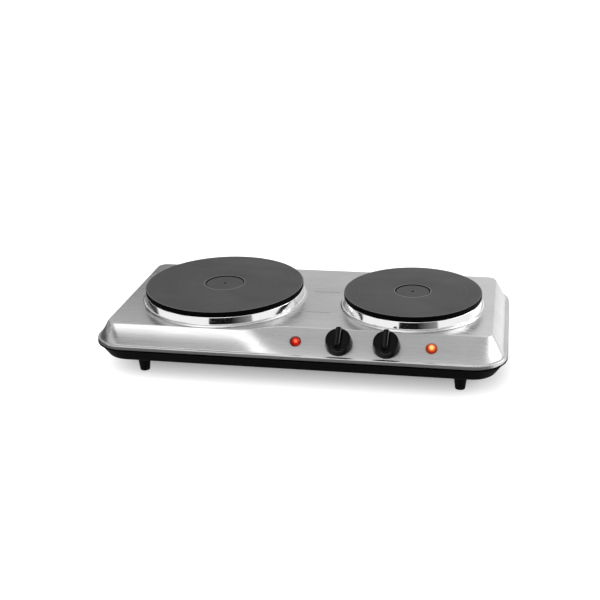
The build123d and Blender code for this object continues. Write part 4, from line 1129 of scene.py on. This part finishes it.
    def light_world(self, scene):
        """White room to the rays that show it, and a little less for the light that it gives."""
        world = bpy.data.worlds.new("studio_room")
        scene.world = world
        world.use_nodes = True
        tree = world.node_tree
        tree.nodes.clear()
        strength = add_node(
            tree, "MapRange", {"Value": self.shown(tree), "To Min": ROOM_LIGHT, "To Max": 1.0}
        ).outputs["Result"]
        room = add_node(tree, "Background", {"Color": linear("ffffff"), "Strength": strength})
        add_node(tree, "OutputWorld", {"Surface": room.outputs["Background"]})

    def aim_camera(self, scene, studio):
        """Camera at the photograph's place, turned and rolled as it was."""
        data = bpy.data.cameras.new("camera")
        data.sensor_width = SENSOR_MM
        data.lens = studio.focal_pixels / FRAME_PIXELS * SENSOR_MM
        camera = bpy.data.objects.new("camera", data)
        scene.collection.objects.link(camera)
        back = self.direction(studio.azimuth, studio.elevation)
        right = Vector((0, 0, 1)).cross(back).normalized()
        up = back.cross(right)
        target = Vector((studio.target_x, studio.target_y, studio.target_z))
        upright = Matrix((right, up, back)).transposed().to_4x4()
        roll = Matrix.Rotation(studio.roll, 4, "Z")
        camera.matrix_world = Matrix.Translation(target + back * studio.distance) @ upright @ roll
        scene.camera = camera


STEPS = (
    HOTPLATE_OT_housing,
    HOTPLATE_OT_pan,
    HOTPLATE_OT_plates,
    HOTPLATE_OT_rings,
    HOTPLATE_OT_feet,
    HOTPLATE_OT_knobs,
    HOTPLATE_OT_lamps,
    HOTPLATE_OT_steelwork,
    HOTPLATE_OT_ceramics,
    HOTPLATE_OT_contacts,
    HOTPLATE_OT_lamp_holders,
    HOTPLATE_OT_gland,
    HOTPLATE_OT_leads,
    HOTPLATE_OT_studio,
)
GROUPS = {
    "hot_plate_sizes": HotPlateSizes,
    "hot_plate_finish": HotPlateFinish,
    "hot_plate_studio": HotPlateStudio,
}


class HOTPLATE_PT_looks(bpy.types.Panel):
    """Sidebar panel with the steps and their settings"""

    bl_label = "Hot plate"
    bl_idname = "HOTPLATE_PT_looks"
    bl_space_type = "VIEW_3D"
    bl_region_type = "UI"
    bl_category = "Hot plate"

    def draw(self, context):
        for step in STEPS:
            self.layout.operator(step.bl_idname)
        for group, kind in GROUPS.items():
            box = self.layout.box()
            for setting in kind.__annotations__:
                box.prop(getattr(context.scene, group), setting)


def register():
    """Register the classes and hang the settings on the scene."""
    for kind in (*GROUPS.values(), *STEPS, HOTPLATE_PT_looks):
        bpy.utils.register_class(kind)
    for group, kind in GROUPS.items():
        setattr(bpy.types.Scene, group, bpy.props.PointerProperty(type=kind))


def unregister():
    """Take the settings and the classes away again."""
    for group in GROUPS:
        delattr(bpy.types.Scene, group)
    for kind in reversed((*GROUPS.values(), *STEPS, HOTPLATE_PT_looks)):
        bpy.utils.unregister_class(kind)


def main():
    """Run every step in order."""
    register()
    for step in STEPS:
        group, name = step.bl_idname.split(".")
        getattr(getattr(bpy.ops, group), name)()


if __name__ == "__main__":
    main()
